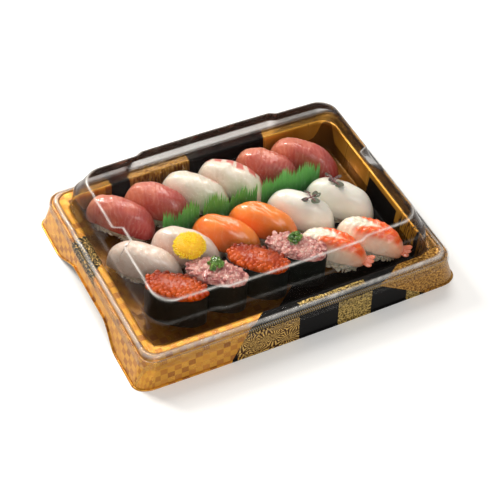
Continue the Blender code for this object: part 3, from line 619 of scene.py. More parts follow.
def frames_on(normals, spins):
    """Rotation frames whose third axis is the normal and whose first axis is turned by the spin."""
    normals = normals / np.linalg.norm(normals, axis=1, keepdims=True)
    helper = np.where(np.abs(normals[:, 2:3]) > 0.9, [[1.0, 0.0, 0.0]], [[0.0, 0.0, 1.0]])
    first = np.cross(helper, normals)
    first /= np.linalg.norm(first, axis=1, keepdims=True)
    second = np.cross(normals, first)
    cosine, sine = np.cos(spins)[:, None], np.sin(spins)[:, None]
    return np.stack([first * cosine + second * sine, second * cosine - first * sine, normals], axis=-1)


def ball(around, rows):
    """A unit ball of rings between two poles: points and faces."""
    rise, turn = np.meshgrid(np.linspace(0.0, math.pi, rows + 2)[1:-1], circle(around), indexing="ij")
    grid = np.stack([np.sin(rise) * np.cos(turn), np.sin(rise) * np.sin(turn), np.cos(rise)], axis=-1)
    return np.vstack([grid.reshape(-1, 3), [[0, 0, 1], [0, 0, -1]]]), ring_faces(rows, around)


def spiral(count, draw):
    """Even places over a disc: reach grows as the square root, the angle by the golden angle."""
    order = np.arange(count) + 0.5
    return (np.sqrt(order / count),
            order * GOLDEN_ANGLE + draw.uniform(*ANY_TURN) + draw.normal(scale=0.05, size=count))


# Materials


def wet_finish(sheet, colour, height, depth, roughness=0.30, coat=0.5, soft=0.08):
    """The moist look that all the fish share: a soft body under a thin wet film."""
    place = sheet.object_place()
    dabs = sheet.noise(place, 0.35, 2.0)
    fine = sheet.noise(place, 1.6, 3.0)
    return sheet.set(Base_Color=colour, Roughness=dabs * 0.22 + (roughness - 0.1), Coat_Weight=coat,
                     Coat_Roughness=0.13, Subsurface_Weight=soft, Subsurface_Scale=0.003,
                     Subsurface_Radius=(1.0, 0.35, 0.2), Normal=sheet.bump(height + fine * 0.35, depth))


def tuna_material(look):
    sheet = Sheet("raw_tuna")
    own, place = sheet.own_place(), sheet.object_place()
    along, across, _ = sheet.parts(own)
    broad = sheet.noise(place, 0.045, 2.0)
    patch = sheet.noise(place, 0.13, 3.0)
    # Painted light and shade: each slice is paler at its end toward the key light and deeper red at the far
    # end, broken by broad noise
    ends = along / 66.0 - across / 90.0 + 0.5 + (broad - 0.5) * 0.9
    body = sheet.mix(ends.between(-1.0, 0.32, 0.3), look.tuna, look.tuna_painted_light)
    body = sheet.mix(ends.above(0.66, 0.30), body, look.tuna_deep_and_painted_shade)
    bands = (along * TUNA_SLANT[0] + across * TUNA_SLANT[1] + broad * 22.0).waves(TUNA_BAND)
    fibre = sheet.noise(sheet.between_vectors("MULTIPLY", own, (1.6, 0.35, 1.0)), 1.0, 4.0)
    colour = sheet.mix(bands.above(0.78, 0.22) * patch.above(0.50, 0.10) * 0.26, body, look.tuna_sinew)
    colour = sheet.mix(fibre.above(0.60, 0.10) * 0.16, colour, look.tuna_sinew)
    colour = sheet.mix(bands.below(-0.6, 0.3) * 0.14, colour, look.tuna_deep_and_painted_shade)
    return wet_finish(sheet, colour, fibre + bands * 0.12, 0.5, 0.30)


def salmon_material(look):
    sheet = Sheet("raw_salmon")
    place = sheet.object_place()
    along, across, _ = sheet.parts(sheet.own_place())
    broad, body = sheet.patches(0.04, 0.18, look.salmon, look.salmon_deep)
    lines = (along * 0.80 + across * 0.62 + broad * 30.0).waves(9.5).above(0.95, 0.05)
    faint = sheet.noise(place, 0.2, 2.0).above(0.48, 0.12)
    colour = sheet.mix(lines * faint * 0.5, body, look.salmon_fat)
    return wet_finish(sheet, colour, sheet.noise(place, 0.25, 3.0), 0.3, 0.3)


def pale_fish_material(name, body, clear, blush, edge, share):
    """Translucent white fish with a red band along the far edge of the slice."""
    sheet = Sheet(name)
    place = sheet.object_place()
    along, across, _ = sheet.parts(sheet.own_place())
    bend = sheet.noise(place, 0.07, 2.0)
    _, colour = sheet.patches(0.05, 0.25, body, clear)
    veins = (along * 0.5 + across + bend * 14.0).waves(5.2).above(0.55, 0.35) * 0.3
    colour = sheet.mix(veins, colour, tone(244, 236, 226))
    band = (across + (bend - 0.5) * 9.0 + along * 0.06).above(edge, 1.4)
    arcs = (along + across * 0.5 + bend * 10.0).waves(11.0).above(-0.35, 0.4)
    colour = sheet.mix(band * (arcs * 0.75 + 0.15) * share, colour, blush)
    return wet_finish(sheet, colour, sheet.noise(place, 0.3, 3.0), 0.3, 0.28)


def squid_material(look):
    sheet = Sheet("raw_squid")
    broad, colour = sheet.patches(0.05, 0.3, look.squid, look.squid_shade)
    return wet_finish(sheet, colour, broad, 0.2, 0.32, 0.35, 0.2)


def shrimp_material(look):
    """White flesh with two orange arms that meet towards the pink tail."""
    sheet = Sheet("boiled_shrimp")
    place = sheet.object_place()
    along, across, _ = sheet.parts(sheet.own_place())
    bend = (sheet.noise(place, 0.09, 3.0) - 0.5) * 9.0
    arm = (across + bend * 0.3).size() - SHRIMP_ARM[0] + along * SHRIMP_ARM[1]
    orange = arm.size().below(4.8, 1.3) * (along + bend).between(-13.0, 30.0, 2.5)
    stripes = (along + across.size() * 0.6 + bend).waves(SHRIMP_STRIPE).above(0.35, 0.4) * 0.5
    red = sheet.mix(stripes, look.shrimp, look.shrimp_light)
    flesh = sheet.mix((along + bend).above(4.0, 7.0) * 0.55, look.shrimp_white, look.shrimp_light)
    side = (across.size() + bend * 0.5).above(10.0, 1.5) * 0.55
    colour = sheet.mix(orange, flesh, red)
    colour = sheet.mix(side, colour, look.shrimp_white)
    colour = sheet.mix(sheet.mark("fin") * 0.9, colour, look.shrimp_pink)
    return wet_finish(sheet, colour, stripes * 0.6 + sheet.noise(place, 0.4, 3.0), 0.4, 0.32)


def rice_material(look):
    sheet = Sheet("cooked_rice")
    place = sheet.object_place()
    _, colour = sheet.patches(0.22, 0.25, look.rice, look.rice_shade)
    return sheet.set(Base_Color=colour, Roughness=sheet.noise(place, 1.0) * 0.2 + 0.32,
                     Subsurface_Weight=0.12, Subsurface_Scale=0.002, Coat_Weight=0.2,
                     Normal=sheet.bump(sheet.noise(place, 1.4), 0.12))


def nori_material(look):
    sheet = Sheet("dried_seaweed")
    place = sheet.object_place()
    fibres = sheet.noise(sheet.between_vectors("MULTIPLY", place, (1.0, 1.0, 0.3)), 0.9, 6.0, 0.7)
    colour = sheet.mix(fibres.above(0.56, 0.12), look.nori, look.nori_light)
    return sheet.set(Base_Color=colour, Roughness=fibres * 0.3 + 0.3, Coat_Weight=0.15,
                     Normal=sheet.bump(fibres, 0.4))


def roe_material(look):
    sheet = Sheet("salmon_roe")
    patch, colour = sheet.patches(0.06, 0.14, look.roe, look.roe_deep)
    # The deep mark darkens the roe: painted shade on the back side of the heap and in the gaps between the
    # eggs
    colour = sheet.mix(sheet.mark("deep"), colour, look.roe_painted_shade)
    return sheet.set(Base_Color=colour, Roughness=patch * 0.1 + 0.18, Coat_Weight=0.12,
                     Coat_Roughness=0.04, Specular_IOR_Level=0.3, Subsurface_Weight=0.04,
                     Subsurface_Scale=0.002, Subsurface_Radius=(1.0, 0.3, 0.1))


def mince_material(look):
    sheet = Sheet("minced_tuna")
    place = sheet.object_place()
    lumps = sheet.noise(place, 0.28, 4.0, 0.7)
    bits = sheet.cells(place, 0.5)
    colour = sheet.mix(lumps.above(0.5, 0.12), look.mince, look.mince_light)
    colour = sheet.mix(bits.below(0.42, 0.16) * lumps.above(0.5, 0.1) * 0.8, colour, look.mince_fat)
    colour = sheet.mix(sheet.noise(place, 0.15, 2.0).above(0.58, 0.05) * 0.7, colour, look.mince_dark)
    return sheet.set(Base_Color=colour, Roughness=lumps * 0.25 + 0.2, Coat_Weight=0.4,
                     Coat_Roughness=0.15, Subsurface_Weight=0.06, Subsurface_Scale=0.002,
                     Normal=sheet.bump(sheet.noise(place, 0.8, 5.0, 0.7), 0.7))


def onion_material(look):
    sheet = Sheet("green_onion")
    shade, colour = sheet.patches(0.25, 0.14, look.onion, look.onion_light)
    return sheet.set(Base_Color=colour, Roughness=shade * 0.2 + 0.25, Coat_Weight=0.3,
                     Normal=sheet.bump(sheet.noise(sheet.object_place(), 0.9), 0.15))


def flower_material(look):
    sheet = Sheet("chrysanthemum_petals")
    shade = sheet.noise(sheet.object_place(), 0.35, 2.0)
    colour = sheet.mix(sheet.mark("tip"), look.petal_root, look.petal)
    colour = sheet.mix(shade.above(0.56, 0.08) * 0.4, colour, look.petal_root)
    return sheet.set(Base_Color=colour, Roughness=shade * 0.2 + 0.5)


def grass_material(look):
    sheet = Sheet("cut_grass_film")
    along, up, _ = sheet.parts(sheet.own_place())
    shade = sheet.noise(sheet.object_place(), 0.08, 2.0)
    ribs = along.waves(1.5)
    colour = sheet.mix((up / 34.0 - 0.55 + shade * 0.5).clamped(), look.grass, look.grass_light)
    colour = sheet.mix(ribs.above(0.2, 0.6) * 0.35, colour, look.grass)
    return sheet.set(Base_Color=colour, Roughness=shade * 0.2 + 0.3, Coat_Weight=0.2,
                     Normal=sheet.bump(ribs, 0.15))


def sprout_material(look):
    sheet = Sheet("cress_sprout")
    place = sheet.object_place()
    shade = sheet.noise(place, 0.4, 2.0)
    colour = sheet.mix(sheet.mark("purple"), look.leaf, look.leaf_purple)
    colour = sheet.mix(shade.above(0.5, 0.15) * 0.4, colour, tone(98, 100, 80))
    colour = sheet.mix(sheet.mark("stem"), colour, look.stem)
    return sheet.set(Base_Color=colour, Roughness=shade * 0.2 + 0.4, Normal=sheet.bump(shade, 0.3))


def print_material(look):
    """The printed film: gold with a chequer, black fields, needle strokes and speckled gold blocks.

    It reads the film's own flat place in millimetres, before the sheet was formed.
    """
    sheet = Sheet("printed_film")
    own = sheet.own_place()
    x, y, _ = sheet.parts(own)
    square, fan = look.square / MM, look.needle_fan / MM
    tile = sheet.between_vectors("SNAP", own, (square, square, 1.0))
    chance = sheet.node("ShaderNodeTexWhiteNoise", dict(noise_dimensions="2D"), {"Vector": tile})
    chequer = sheet.node("ShaderNodeTexChecker", None, {"Vector": own, "Scale": 1.0 / square}, 1)
    foil = sheet.noise(own, 0.05, 3.0)
    grain = sheet.noise(own, 0.5, 4.0, 0.75)
    gold = sheet.mix(foil.above(0.5, 0.2), look.gold, look.gold_light)
    brown = sheet.mix(chance, look.brown, look.brown_dark)
    plain_right = (x + y * 0.3).below(26.0, 6.0) * 0.9 + 0.1
    base = sheet.mix(chequer * (chance * 0.6 + 0.2) * plain_right, gold, brown)

    ray = sheet.between_vectors("SUBTRACT", own, sheet.cells(own, 1.0 / fan, output="Position"))
    ray_x, ray_y, _ = sheet.parts(ray)
    needles = ray_y.maths("ARCTAN2", ray_x).waves(0.36).above(0.1, 0.35)
    pine = sheet.mix(needles * grain.above(0.46, 0.08), look.stroke_ground, look.stroke)
    speckle = sheet.mix(grain.above(0.50, 0.05), look.speckle_ground, look.speckle)
    strokes = sheet.mix(needles * grain.above(0.51, 0.03), look.ink, look.stroke)
    glitter = sheet.mix(grain.above(0.52, 0.08), look.glitter_ground, look.glitter)

    wobble = (foil - 0.5) * 9.0
    rise = y + 111.0
    past_chequer = (x + 53.0 - (rise * 0.5).most(rise * 1.3)).above(0.0)
    dark_right = (x + wobble).between(74.0, 128.0) * y.below(60.0)
    dark_floor = (y + x * 0.12 + wobble).below(-52.0).most(dark_right)
    colour = sheet.mix(past_chequer * dark_floor, base, look.ink)
    shoulder = (y + wobble * 0.3).between(-104.0, -99.0) * (x + wobble).between(-2.0, 62.0)
    colour = sheet.mix(shoulder * past_chequer, colour, speckle)
    fills = {"pine": pine, "speckle": speckle, "ink": look.ink, "glitter": glitter}
    skirt = y.below(-115.0) * past_chequer
    for low, high, fill in SKIRT_FIELDS:
        colour = sheet.mix(skirt * x.between(low, high), colour, fills[fill])
    corner = (x - 73.0 - (y + 112.0).size() * 1.55).above(0.0) * y.below(-30.0)
    colour = sheet.mix(corner, colour, glitter)
    left = x.between(-158.0, -126.0) * (y - x * 0.75).above(112.0) * (y + wobble).below(46.0)
    colour = sheet.mix(left, colour, strokes)
    back = y.above(66.0) * x.size().below(140.0)
    for low, high, fill in BACK_FIELDS:
        colour = sheet.mix((x + wobble).between(low, high) * back, colour, fills[fill])
    right = x.above(104.0)
    colour = sheet.mix(right * (y + wobble).between(-34.0, 16.0) * x.below(134.0), colour, look.ink)
    flecks = (y + wobble).between(-92.0, -40.0) * grain.above(0.53, 0.03)
    colour = sheet.mix(right * flecks, colour, look.ink)
    colour = sheet.mix((x + wobble * 0.3).above(142.0) * (y + wobble).above(-66.0), colour, look.ink)
    # Painted shade: the floor and walls of the well are multiplied by a darker tone; the shoulder, rims and
    # skirt keep their colour
    outside_painted_well_shade = x.size().above(133.0).most(y.size().above(93.0))
    colour = sheet.mix(1.0, colour, sheet.mix(outside_painted_well_shade, tone(150, 140, 130), tone(255, 255, 255)), "MULTIPLY")
    # Lighter gold stripes on the ribs of the front and back rims: painted highlight on the rib crests
    ribs = x.waves(2.0) * y.size().between(109.0, 114.0)
    colour = sheet.mix(ribs.above(0.2, 0.2) * 0.4, colour, look.stroke)
    shine = sheet.node("ShaderNodeRGBToBW", None, {0: colour}).above(0.05, 0.03)
    return sheet.set(Base_Color=colour, Metallic=shine * 0.55, Roughness=0.5 - shine * (0.1 + foil * 0.2),
                     Specular_IOR_Level=0.1, Coat_Weight=shine * 0.2, Coat_Roughness=0.1,
                     Normal=sheet.bump(foil * 0.5 + ribs, 0.15))


def lid_material(look):
    """Clear plastic film: seen through, glossy, whitened at its bends, darkened edge-on by painted
    reflection.

    The film's own shade takes a share of what is seen: the fourth power of how edge-on it is, plus
    the cube of its bend, a white that is partly stress-whitening and partly painted highlight lines,
    plus a painted dark reflection that only the walls have, set per side.
    """
    sheet = Sheet("clear_film")
    facing = sheet.node("ShaderNodeLayerWeight", None, {"Blend": 0.5}, "Facing")
    along, _, _ = sheet.parts(sheet.own_place())
    streak = sheet.noise(sheet.joined(along, 0.0), 0.035, 3.0, 0.7)
    # Painted dark reflection: the walls darken as they are seen edge-on, by a share set per side
    painted_dark_reflection = facing.above(0.42, 0.16) * sheet.mark("wall") * (streak * 0.4 + 0.70)
    clear = sheet.node("ShaderNodeBsdfTransparent", None, {0: look.clear})
    ribs = along.waves(look.rib / MM) * sheet.mark("ribbed")
    # White at the bends: partly stress-whitening, partly painted highlight lines
    white = sheet.mark("bend") ** 3.0 * streak.above(0.45, 0.2) * 0.75
    gloss = facing ** 4.0 * 0.15 + 0.012
    share = (gloss + white + painted_dark_reflection).clamped()
    sheet.set(Base_Color=sheet.mix((white / share).clamped(), look.painted_dark_reflection, look.bent), Roughness=0.06,
              Normal=sheet.bump(ribs, 0.25))
    shade = Value(sheet, sheet.shader.outputs[0])
    film = sheet.node("ShaderNodeMixShader", None, {0: share, 1: clear, 2: shade})
    sheet.links.new(film.socket, sheet.output.inputs[0])
    return sheet.material


# Tray and lid


def outline(side_points, corner_points):
    """The stops round a rounded rectangle: arrays of kind (0 side, 1 corner), side and share."""
    stops = []
    for side in range(4):
        points = side_points[side % 2]
        stops += [(0, side, share) for share in (np.arange(points) + 0.5) / points]
        stops += [(1, side, share) for share in np.linspace(0.0, 1.0, corner_points)]
    kinds, sides, shares = (np.array(column) for column in zip(*stops))
    return kinds, sides.astype(int), shares


def outline_points(stops, half_x, half_y, radius):
    """Rounded rectangle points, with the long sides bowed by a parabola, and their outward ways."""
    kinds, sides, shares = stops
    straight_x, straight_y = half_x - radius, half_y - radius
    along = 2.0 * shares - 1.0
    bow = LONG_SIDE_BOW * 4.0 * shares * (1.0 - shares)
    side_ways = np.array([(0.0, -1.0), (1.0, 0.0), (0.0, 1.0), (-1.0, 0.0)])[sides]
    side_x = np.choose(sides, [straight_x * along, half_x, -straight_x * along, -half_x])
    side_y = np.choose(sides, [-half_y - bow, straight_y * along, half_y + bow, -straight_y * along])
    angles = np.radians(-90.0 + 90.0 * (sides + shares))
    corner_ways = np.stack([np.cos(angles), np.sin(angles)], axis=-1)
    middles = np.array([(1.0, -1.0), (1.0, 1.0), (-1.0, 1.0), (-1.0, -1.0)])[sides] * (straight_x, straight_y)
    at_corner = (kinds == 1)[:, None]
    points = np.where(at_corner, middles + radius * corner_ways, np.stack([side_x, side_y], axis=-1))
    return points, np.where(at_corner, corner_ways, side_ways)


def softened(path, rounds=2):
    """A profile with its corners cut twice, each time at a quarter of the way along every stretch."""
    path = np.asarray(path, float)
    for _ in range(rounds):
        near = path[:-1] * 0.75 + path[1:] * 0.25
        far = path[:-1] * 0.25 + path[1:] * 0.75
        path = np.vstack([path[:1], np.stack([near, far], 1).reshape(-1, path.shape[1]), path[-1:]])
    return path


def offset(path, distance):
    """A profile of (inset, height) moved sideways along its normals."""
    ways = np.gradient(path[:, :2], axis=0)
    ways /= np.linalg.norm(ways, axis=1, keepdims=True)
    moved = path.copy()
    moved[:, 0] -= ways[:, 1] * distance
    moved[:, 1] += ways[:, 0] * distance
    return moved


def level_ring(stops, inset, height, radius):
    """A level ring of the tray. Its flat place moves outwards by the way that the wall falls."""
    points, ways = outline_points(stops, LID_HALF_X - inset, LID_HALF_Y - inset, radius)
    fall = SHOULDER - height if inset < 10.0 else 0.0
    return np.column_stack([points, np.full(len(points), height)]), points + ways * fall


def skirt_ring(stops, depth, wall=0.0, lip=0.0, lift=0.0):
    """A ring of the sloping skirt at a share of its depth, pulled up where a short side arches."""
    kinds, sides, shares = stops
    from_end = np.minimum(shares, 1.0 - shares)
    arch = 1.0 - ARCH_SHARE * smooth_step(ARCH_START, ARCH_END, from_end) * (kinds == 0) * (sides % 2)
    share = depth * arch
    radius = SKIRT_TOP_RADIUS + (FOOT_RADIUS - SKIRT_TOP_RADIUS) * depth
    flat, ways = outline_points(stops, LID_HALF_X, LID_HALF_Y, radius)
    flare = np.column_stack([SKIRT_FLARE_X * share, SKIRT_FLARE_Y * share])
    points = flat + ways * (flare + lip - SKIRT_INSET - wall)
    height = SKIRT_TOP * (1.0 - share) + lift
    return np.column_stack([points, height]), points + ways * (SHOULDER - height)[:, None]


def lid_ring(stops, inset, height, radius, bulge, notch):
    """A level ring of the lid, stepped out along the long sides and notched in the short ones."""
    kinds, sides, shares = stops
    points, ways = outline_points(stops, LID_HALF_X - inset, LID_HALF_Y - inset, radius)
    from_end = np.minimum(shares, 1.0 - shares)
    long_side, short_side = (kinds == 0) * (sides % 2 == 0), (kinds == 0) * (sides % 2)
    out = BULGE * bulge * smooth_step(0.165, 0.205, from_end) * long_side
    back = NOTCH * notch * smooth_step(0.40, 0.44, from_end) * short_side
    points = points + ways * (out - back)[:, None]
    girth = np.concatenate([[0.0], np.cumsum(np.linalg.norm(np.diff(points, axis=0), axis=1))])
    return np.column_stack([points, np.full(len(points), height)]), np.column_stack([girth, girth * 0.0])


class TrayOperator(bpy.types.Operator):
    """Forms the printed tray: floor, well, shoulder, rims and the skirt with its arched short sides"""

    bl_idname = "sushi_tray.tray"
    bl_label = "Tray"

    def execute(self, context):
        stops = outline((90, 110), 16)
        profile = softened(TRAY_PROFILE)
        under = offset(profile, TRAY_WALL)[::-1]
        under[-2:, 1] = 0.0
        rings = [level_ring(stops, *row) for row in profile]
        rings += [skirt_ring(stops, depth) for depth in SKIRT_DEPTHS]
        rings += [skirt_ring(stops, 0.985, lip=SKIRT_LIP * 0.7, lift=0.9),
                  skirt_ring(stops, 1.0, lip=SKIRT_LIP, lift=0.7), skirt_ring(stops, 1.0, lip=SKIRT_LIP),
                  skirt_ring(stops, 0.98, TRAY_WALL), skirt_ring(stops, 0.5, TRAY_WALL)]
        rings += [level_ring(stops, *row) for row in under]
        pile = Pile()
        pile.add_rows(*(np.stack(column) for column in zip(*rings)))
        pile.make("tray_film", "tray", print_material(context.scene.sushi_tray.tray), 70.0)
        return {"FINISHED"}


class LidOperator(bpy.types.Operator):
    """Forms the clear lid: ribbed edge, groove and ridge, bead, dome, notches and raised top.

    The wall mark is the squared share of a wall's way that faces each side, times that side's share of
    painted dark reflection, summed over the four sides.
    """

    bl_idname = "sushi_tray.lid"
    bl_label = "Lid"

    def execute(self, context):
        stops = outline((126, 126), 16)
        profile = softened(LID_PROFILE)
        path = np.vstack([profile[::-1], offset(profile, LID_WALL)])
        rings = [lid_ring(stops, *row[:5]) for row in path]
        rows, own = (np.stack(column) for column in zip(*rings))
        bend, wall, ribbed = (np.repeat(path[:, index, None], rows.shape[1], axis=1) for index in (5, 6, 7))
        _, ways = outline_points(stops, LID_HALF_X, LID_HALF_Y, 18.0)
        # Painted dark reflection per side: full at the back, 0.8 at the right, 0.16 at the left, 0.04 at the
        # front
        wall = wall * (np.clip(ways[:, (1, 0)], 0.0, 1.0) ** 2.0 @ PAINTED_REFLECTION_BACK_RIGHT
                       + np.clip(-ways[:, (1, 0)], 0.0, 1.0) ** 2.0 @ PAINTED_REFLECTION_FRONT_LEFT)
        pile = Pile()
        pile.add_rows(rows, own, bend=bend, wall=wall, ribbed=ribbed)
        pile.make("lid_film", "lid", lid_material(context.scene.sushi_tray.lid), 75.0)
        return {"FINISHED"}


# Nigiri


def dome(reach):
    """Height of the dome from its edge, at reach 1, to its middle, at reach 0."""
    return np.sqrt(np.clip(1.0 - reach ** 3.2, 0.0, 1.0))


def hanging(kind, angles):
    """The slice's edge height above the floor gap and its lip, round the piece."""
    end_edge, side_edge, _, side_lip, end_lip, _ = TOPPING[kind]
    endness = np.cos(angles) ** 2.0
    return side_edge + (end_edge - side_edge) * endness, side_lip + (end_lip - side_lip) * endness


def slice_rows(kind, place, length, width, height, seed):
    """The draped slice: an outer dome to its edge, a rounded edge, and an inner dome back up inside.

    Height is the edge plus the rise to the top times the root of 1 less reach to the power 3.2.
    Returns rows of points and their own (along, across); their share of the way to the edge fades the
    relief out towards the edge.
    """
    thick, square = TOPPING[kind][2], TOPPING[kind][5]
    angles = circle(132)
    edge, lip = hanging(kind, angles)
    edge = REST + edge + 0.8 * waver(seed, angles) + 0.6 * np.sin(7.0 * angles + 3.0 * seed)
    outer = np.concatenate([np.linspace(0.03, 0.8, 14), 1.0 - 0.2 * np.linspace(0.92, 0.0, 14) ** 2.0])
    steps = [(reach, 0.0, 0.0) for reach in outer] + [(1.0, share, 0.0) for share in (0.35, 0.7, 1.0)]
    steps += [(reach, 1.0, 1.0) for reach in (1.0, 0.97, 0.9, 0.7, 0.4, 0.1)]
    rows, own, marks = [], [], []
    for reach, turn_in, inside in steps:
        shrink = lip * (turn_in * 0.45 if not inside else 1.0)
        along, across = oval(angles, length / 2.0 - shrink, width / 2.0 - shrink, square)
        swell = reach * (1.0 + 0.022 * waver(seed + 2.0, angles) * reach ** 3.0)
        along, across = along * swell, across * swell
        top = REST + height - thick * inside + 0.9 * math.sin(seed) * across / width
        z = edge + (top - edge) * dome(reach) - 0.5 * math.sin(math.pi * turn_in) * (1.0 - inside)
        rows.append(laid(along, across, z, place))
        own.append(np.column_stack([along, across]))
        marks.append(np.full(len(angles), 1.0 if inside else reach))
    rows, own, marks = np.stack(rows), np.stack(own), np.stack(marks)
    rows[..., 2] += relief(kind, rows, own, int(seed * 10)) * (1.0 - marks ** 8.0)
    return rows, own


def relief(kind, rows, own, seed):
    """How the cut surface rises and falls, by the kind of fish."""
    along, across = own[..., 0], own[..., 1]
    lift = 0.9 * ripple(rows, 22.0, seed) + 0.35 * ripple(rows, 8.0, seed + 1)
    if kind == "tuna":
        slant = along * TUNA_SLANT[0] + across * TUNA_SLANT[1]
        lift += 0.15 * np.sin(slant * 2.0 * math.pi / TUNA_BAND)
    if kind == "salmon":
        lift -= 0.8 * np.exp(-((across + 0.25 * along + 2.0) / 2.2) ** 2.0) * (along > -30.0)
    if kind == "squid":
        lift *= 0.6
    if kind == "shrimp":
        arm = np.abs(across) - SHRIMP_ARM[0] + along * SHRIMP_ARM[1]
        lift += 1.2 * np.exp(-(arm / 2.4) ** 2.0) - 0.9 * np.exp(-(across / 1.5) ** 2.0)
        lift += 0.4 * np.sin((along + 0.6 * np.abs(across)) * 2.0 * math.pi / SHRIMP_STRIPE)
    return lift


def add_fins(pile, place, length):
    """Three thin fins spread from the tail: flat ovals, ridged along the middle."""
    shape, faces = ball(24, 11)
    for index, spread in enumerate(FIN_TURNS):
        fin_along = 7.5 * shape[:, 0]
        fin_across = (2.8 + 0.16 * fin_along) * shape[:, 1] * (1.0 + 0.08 * np.cos(9.0 * shape[:, 0]))
        turn = math.radians(spread)
        along = length / 2.0 + fin_along * math.cos(turn) - fin_across * math.sin(turn)
        across = fin_along * math.sin(turn) + fin_across * math.cos(turn) + 0.10 * spread
        ridge = 0.35 * np.exp(-(fin_across / 0.7) ** 2.0)
        z = REST + 15.5 + 0.8 * shape[:, 2] + ridge + 0.16 * fin_along + index * 0.4
        pile.add(laid(along, across, z, place), faces, np.column_stack([along, across]), fin=1.0)


def add_rice(pile, kind, place, length, width, height, seed, look):
    """The pressed rice: a rounded core with long grains lying on its side, each its own way."""
    thick, square = TOPPING[kind][2], TOPPING[kind][5]
    angles = circle(72)
    edge, lip = hanging(kind, angles)
    half_length, half_width = length / 2.0 - lip, width / 2.0 - lip
    rows = []
    for share, spread in ((0.02, -3.0), (0.12, -1.2), (0.3, -0.4), (0.55, 0.0), (0.8, -0.2), (1.0, -0.8)):
        along, across = oval(angles, half_length - 1.6 + spread, half_width - 1.4 + spread, square)
        rows.append(laid(along, across, REST + (edge - 1.5) * share, place))
    top, start = REST + height - thick - 2.0, REST + edge - 1.5
    for reach in (0.9, 0.7, 0.4, 0.1):
        along, across = oval(angles, half_length - 2.4, half_width - 2.2, square)
        rows.append(laid(along * reach, across * reach, start + (top - start) * dome(reach), place))
    pile.add_rows(np.stack(rows))
    draw = np.random.default_rng(int(seed * 100))
    count = look.grains
    turn = draw.uniform(0.0, 2.0 * math.pi, count)
    rise = draw.uniform(0.0, 1.0, count)
    edge, lip = hanging(kind, turn)
    along, across = oval(turn, length / 2.0 - lip - 2.0, width / 2.0 - lip - 1.8, square)
    centres = laid(along, across, REST + 1.3 + (edge - 3.0) * rise, place)
    outward = laid(along / length, across / width, 0.15 * (rise - 0.4), (0.0, 0.0, place[2]))
    frames = frames_on(outward + draw.normal(scale=0.18, size=(count, 3)), draw.uniform(*ANY_TURN, count))
    long_half, short_half = look.grain_length / MM / 2.0, look.grain_width / MM / 2.0
    sizes = np.column_stack([draw.uniform(0.85, 1.1, count) * long_half,
                             draw.uniform(0.9, 1.1, count) * short_half, np.full(count, short_half * 0.9)])
    points, faces = copies(*ball(8, 5), centres, frames, sizes)
    points[:, 2] = np.maximum(points[:, 2], REST)
    pile.add(points, faces)


class NigiriOperator(bpy.types.Operator):
    """Shapes the rice and the slice of every nigiri"""

    bl_idname = "sushi_tray.nigiri"
    bl_label = "Nigiri"

    def execute(self, context):
        look = context.scene.sushi_tray.nigiri
        bream, flounder = (look.bream, look.bream_clear), (look.flounder, look.flounder_clear)
        slices = {
            "bream": pale_fish_material("raw_bream", *bream, look.blush, 6.0, 0.8),
            "bream_2": pale_fish_material("raw_bream_belly", *bream, look.blood, 0.5, 1.0),
            "tuna": tuna_material(look),
            "salmon": salmon_material(look),
            "flounder": pale_fish_material("raw_flounder", *flounder, look.blush, 9.5, 0.9),
            "squid": squid_material(look),
            "shrimp": shrimp_material(look),
        }
        rice = rice_material(look)
        for index, (name, kind, x, y, turn, *sizes) in enumerate(NIGIRI):
            seed = 1.0 + 1.9 * index
            place = (x, y, turn)
            pile = Pile()
            pile.add_rows(*slice_rows(kind, place, *sizes, seed))
            if kind == "shrimp":
                add_fins(pile, place, sizes[0])
            pile.make(name + "_cut", f"{name}_{SLICE_WORD.get(kind, 'slice')}",
                      slices.get(name, slices[kind]))
            build(name + "_grains", name + "_rice", "rice", rice, None,
                  add_rice, kind, place, *sizes, seed, look)
        return {"FINISHED"}


# Gunkan


def heap_height(reach):
    lip = NORI_TOP + 0.6
    return lip + (HEAP_TOP - lip) * np.clip(1.0 - reach ** 3.0, 0.0, 1.0) ** 0.6


def gunkan_oval(angles, inset):
    return oval(angles, GUNKAN_HALF_LENGTH - inset, GUNKAN_HALF_WIDTH - inset, GUNKAN_SQUARE)


def add_band(pile, place, seed):
    """A thin upright band: an outer and an inner skin, rippled, with a frayed upper edge."""
    angles = circle(200)
    frayed = 0.5 * waver(seed, angles) + 0.3 * np.sin(17.0 * angles + seed)
    rows = []
    levels = np.linspace(0.0, 1.0, 12)
    for wall, heights in ((0.2, levels), (0.75, levels[::-1])):
        along, across = gunkan_oval(angles, wall)
        rows += [laid(along, across, REST + (NORI_TOP - REST + frayed) * level, place) for level in heights]
    rows = np.stack(rows)
    ways = rows[..., :2] - np.array(place[:2])
    ways /= np.linalg.norm(ways, axis=-1, keepdims=True)
    rows[..., :2] += ways * 0.2 * ripple(rows * (1.0, 1.0, 0.5), 9.0, int(seed * 10))[..., None]
    pile.add(rows.reshape(-1, 3), wrapped_faces(*rows.shape[:2]))


def add_heap_core(pile, place, seed, swell, lumps, length, **marks):
    """A plug inside the band that swells into a dome, roughened by a ripple."""
    angles = circle(160)
    rows = [laid(*gunkan_oval(angles, 0.9), z, place) for z in (HEAP_FOOT, NORI_TOP - 2.0, NORI_TOP + 0.6)]
    for reach in np.linspace(0.98, 0.04, 26):
        along, across = gunkan_oval(angles, 0.9)
        height = heap_height(reach) + swell * (1.0 - reach ** 6.0)
        rows.append(laid(along * reach, across * reach, height, place))
    rows = np.stack(rows)
    rows[3:, :, 2] += lumps * ripple(rows[3:], length, seed)
    pile.add_rows(rows, **marks)


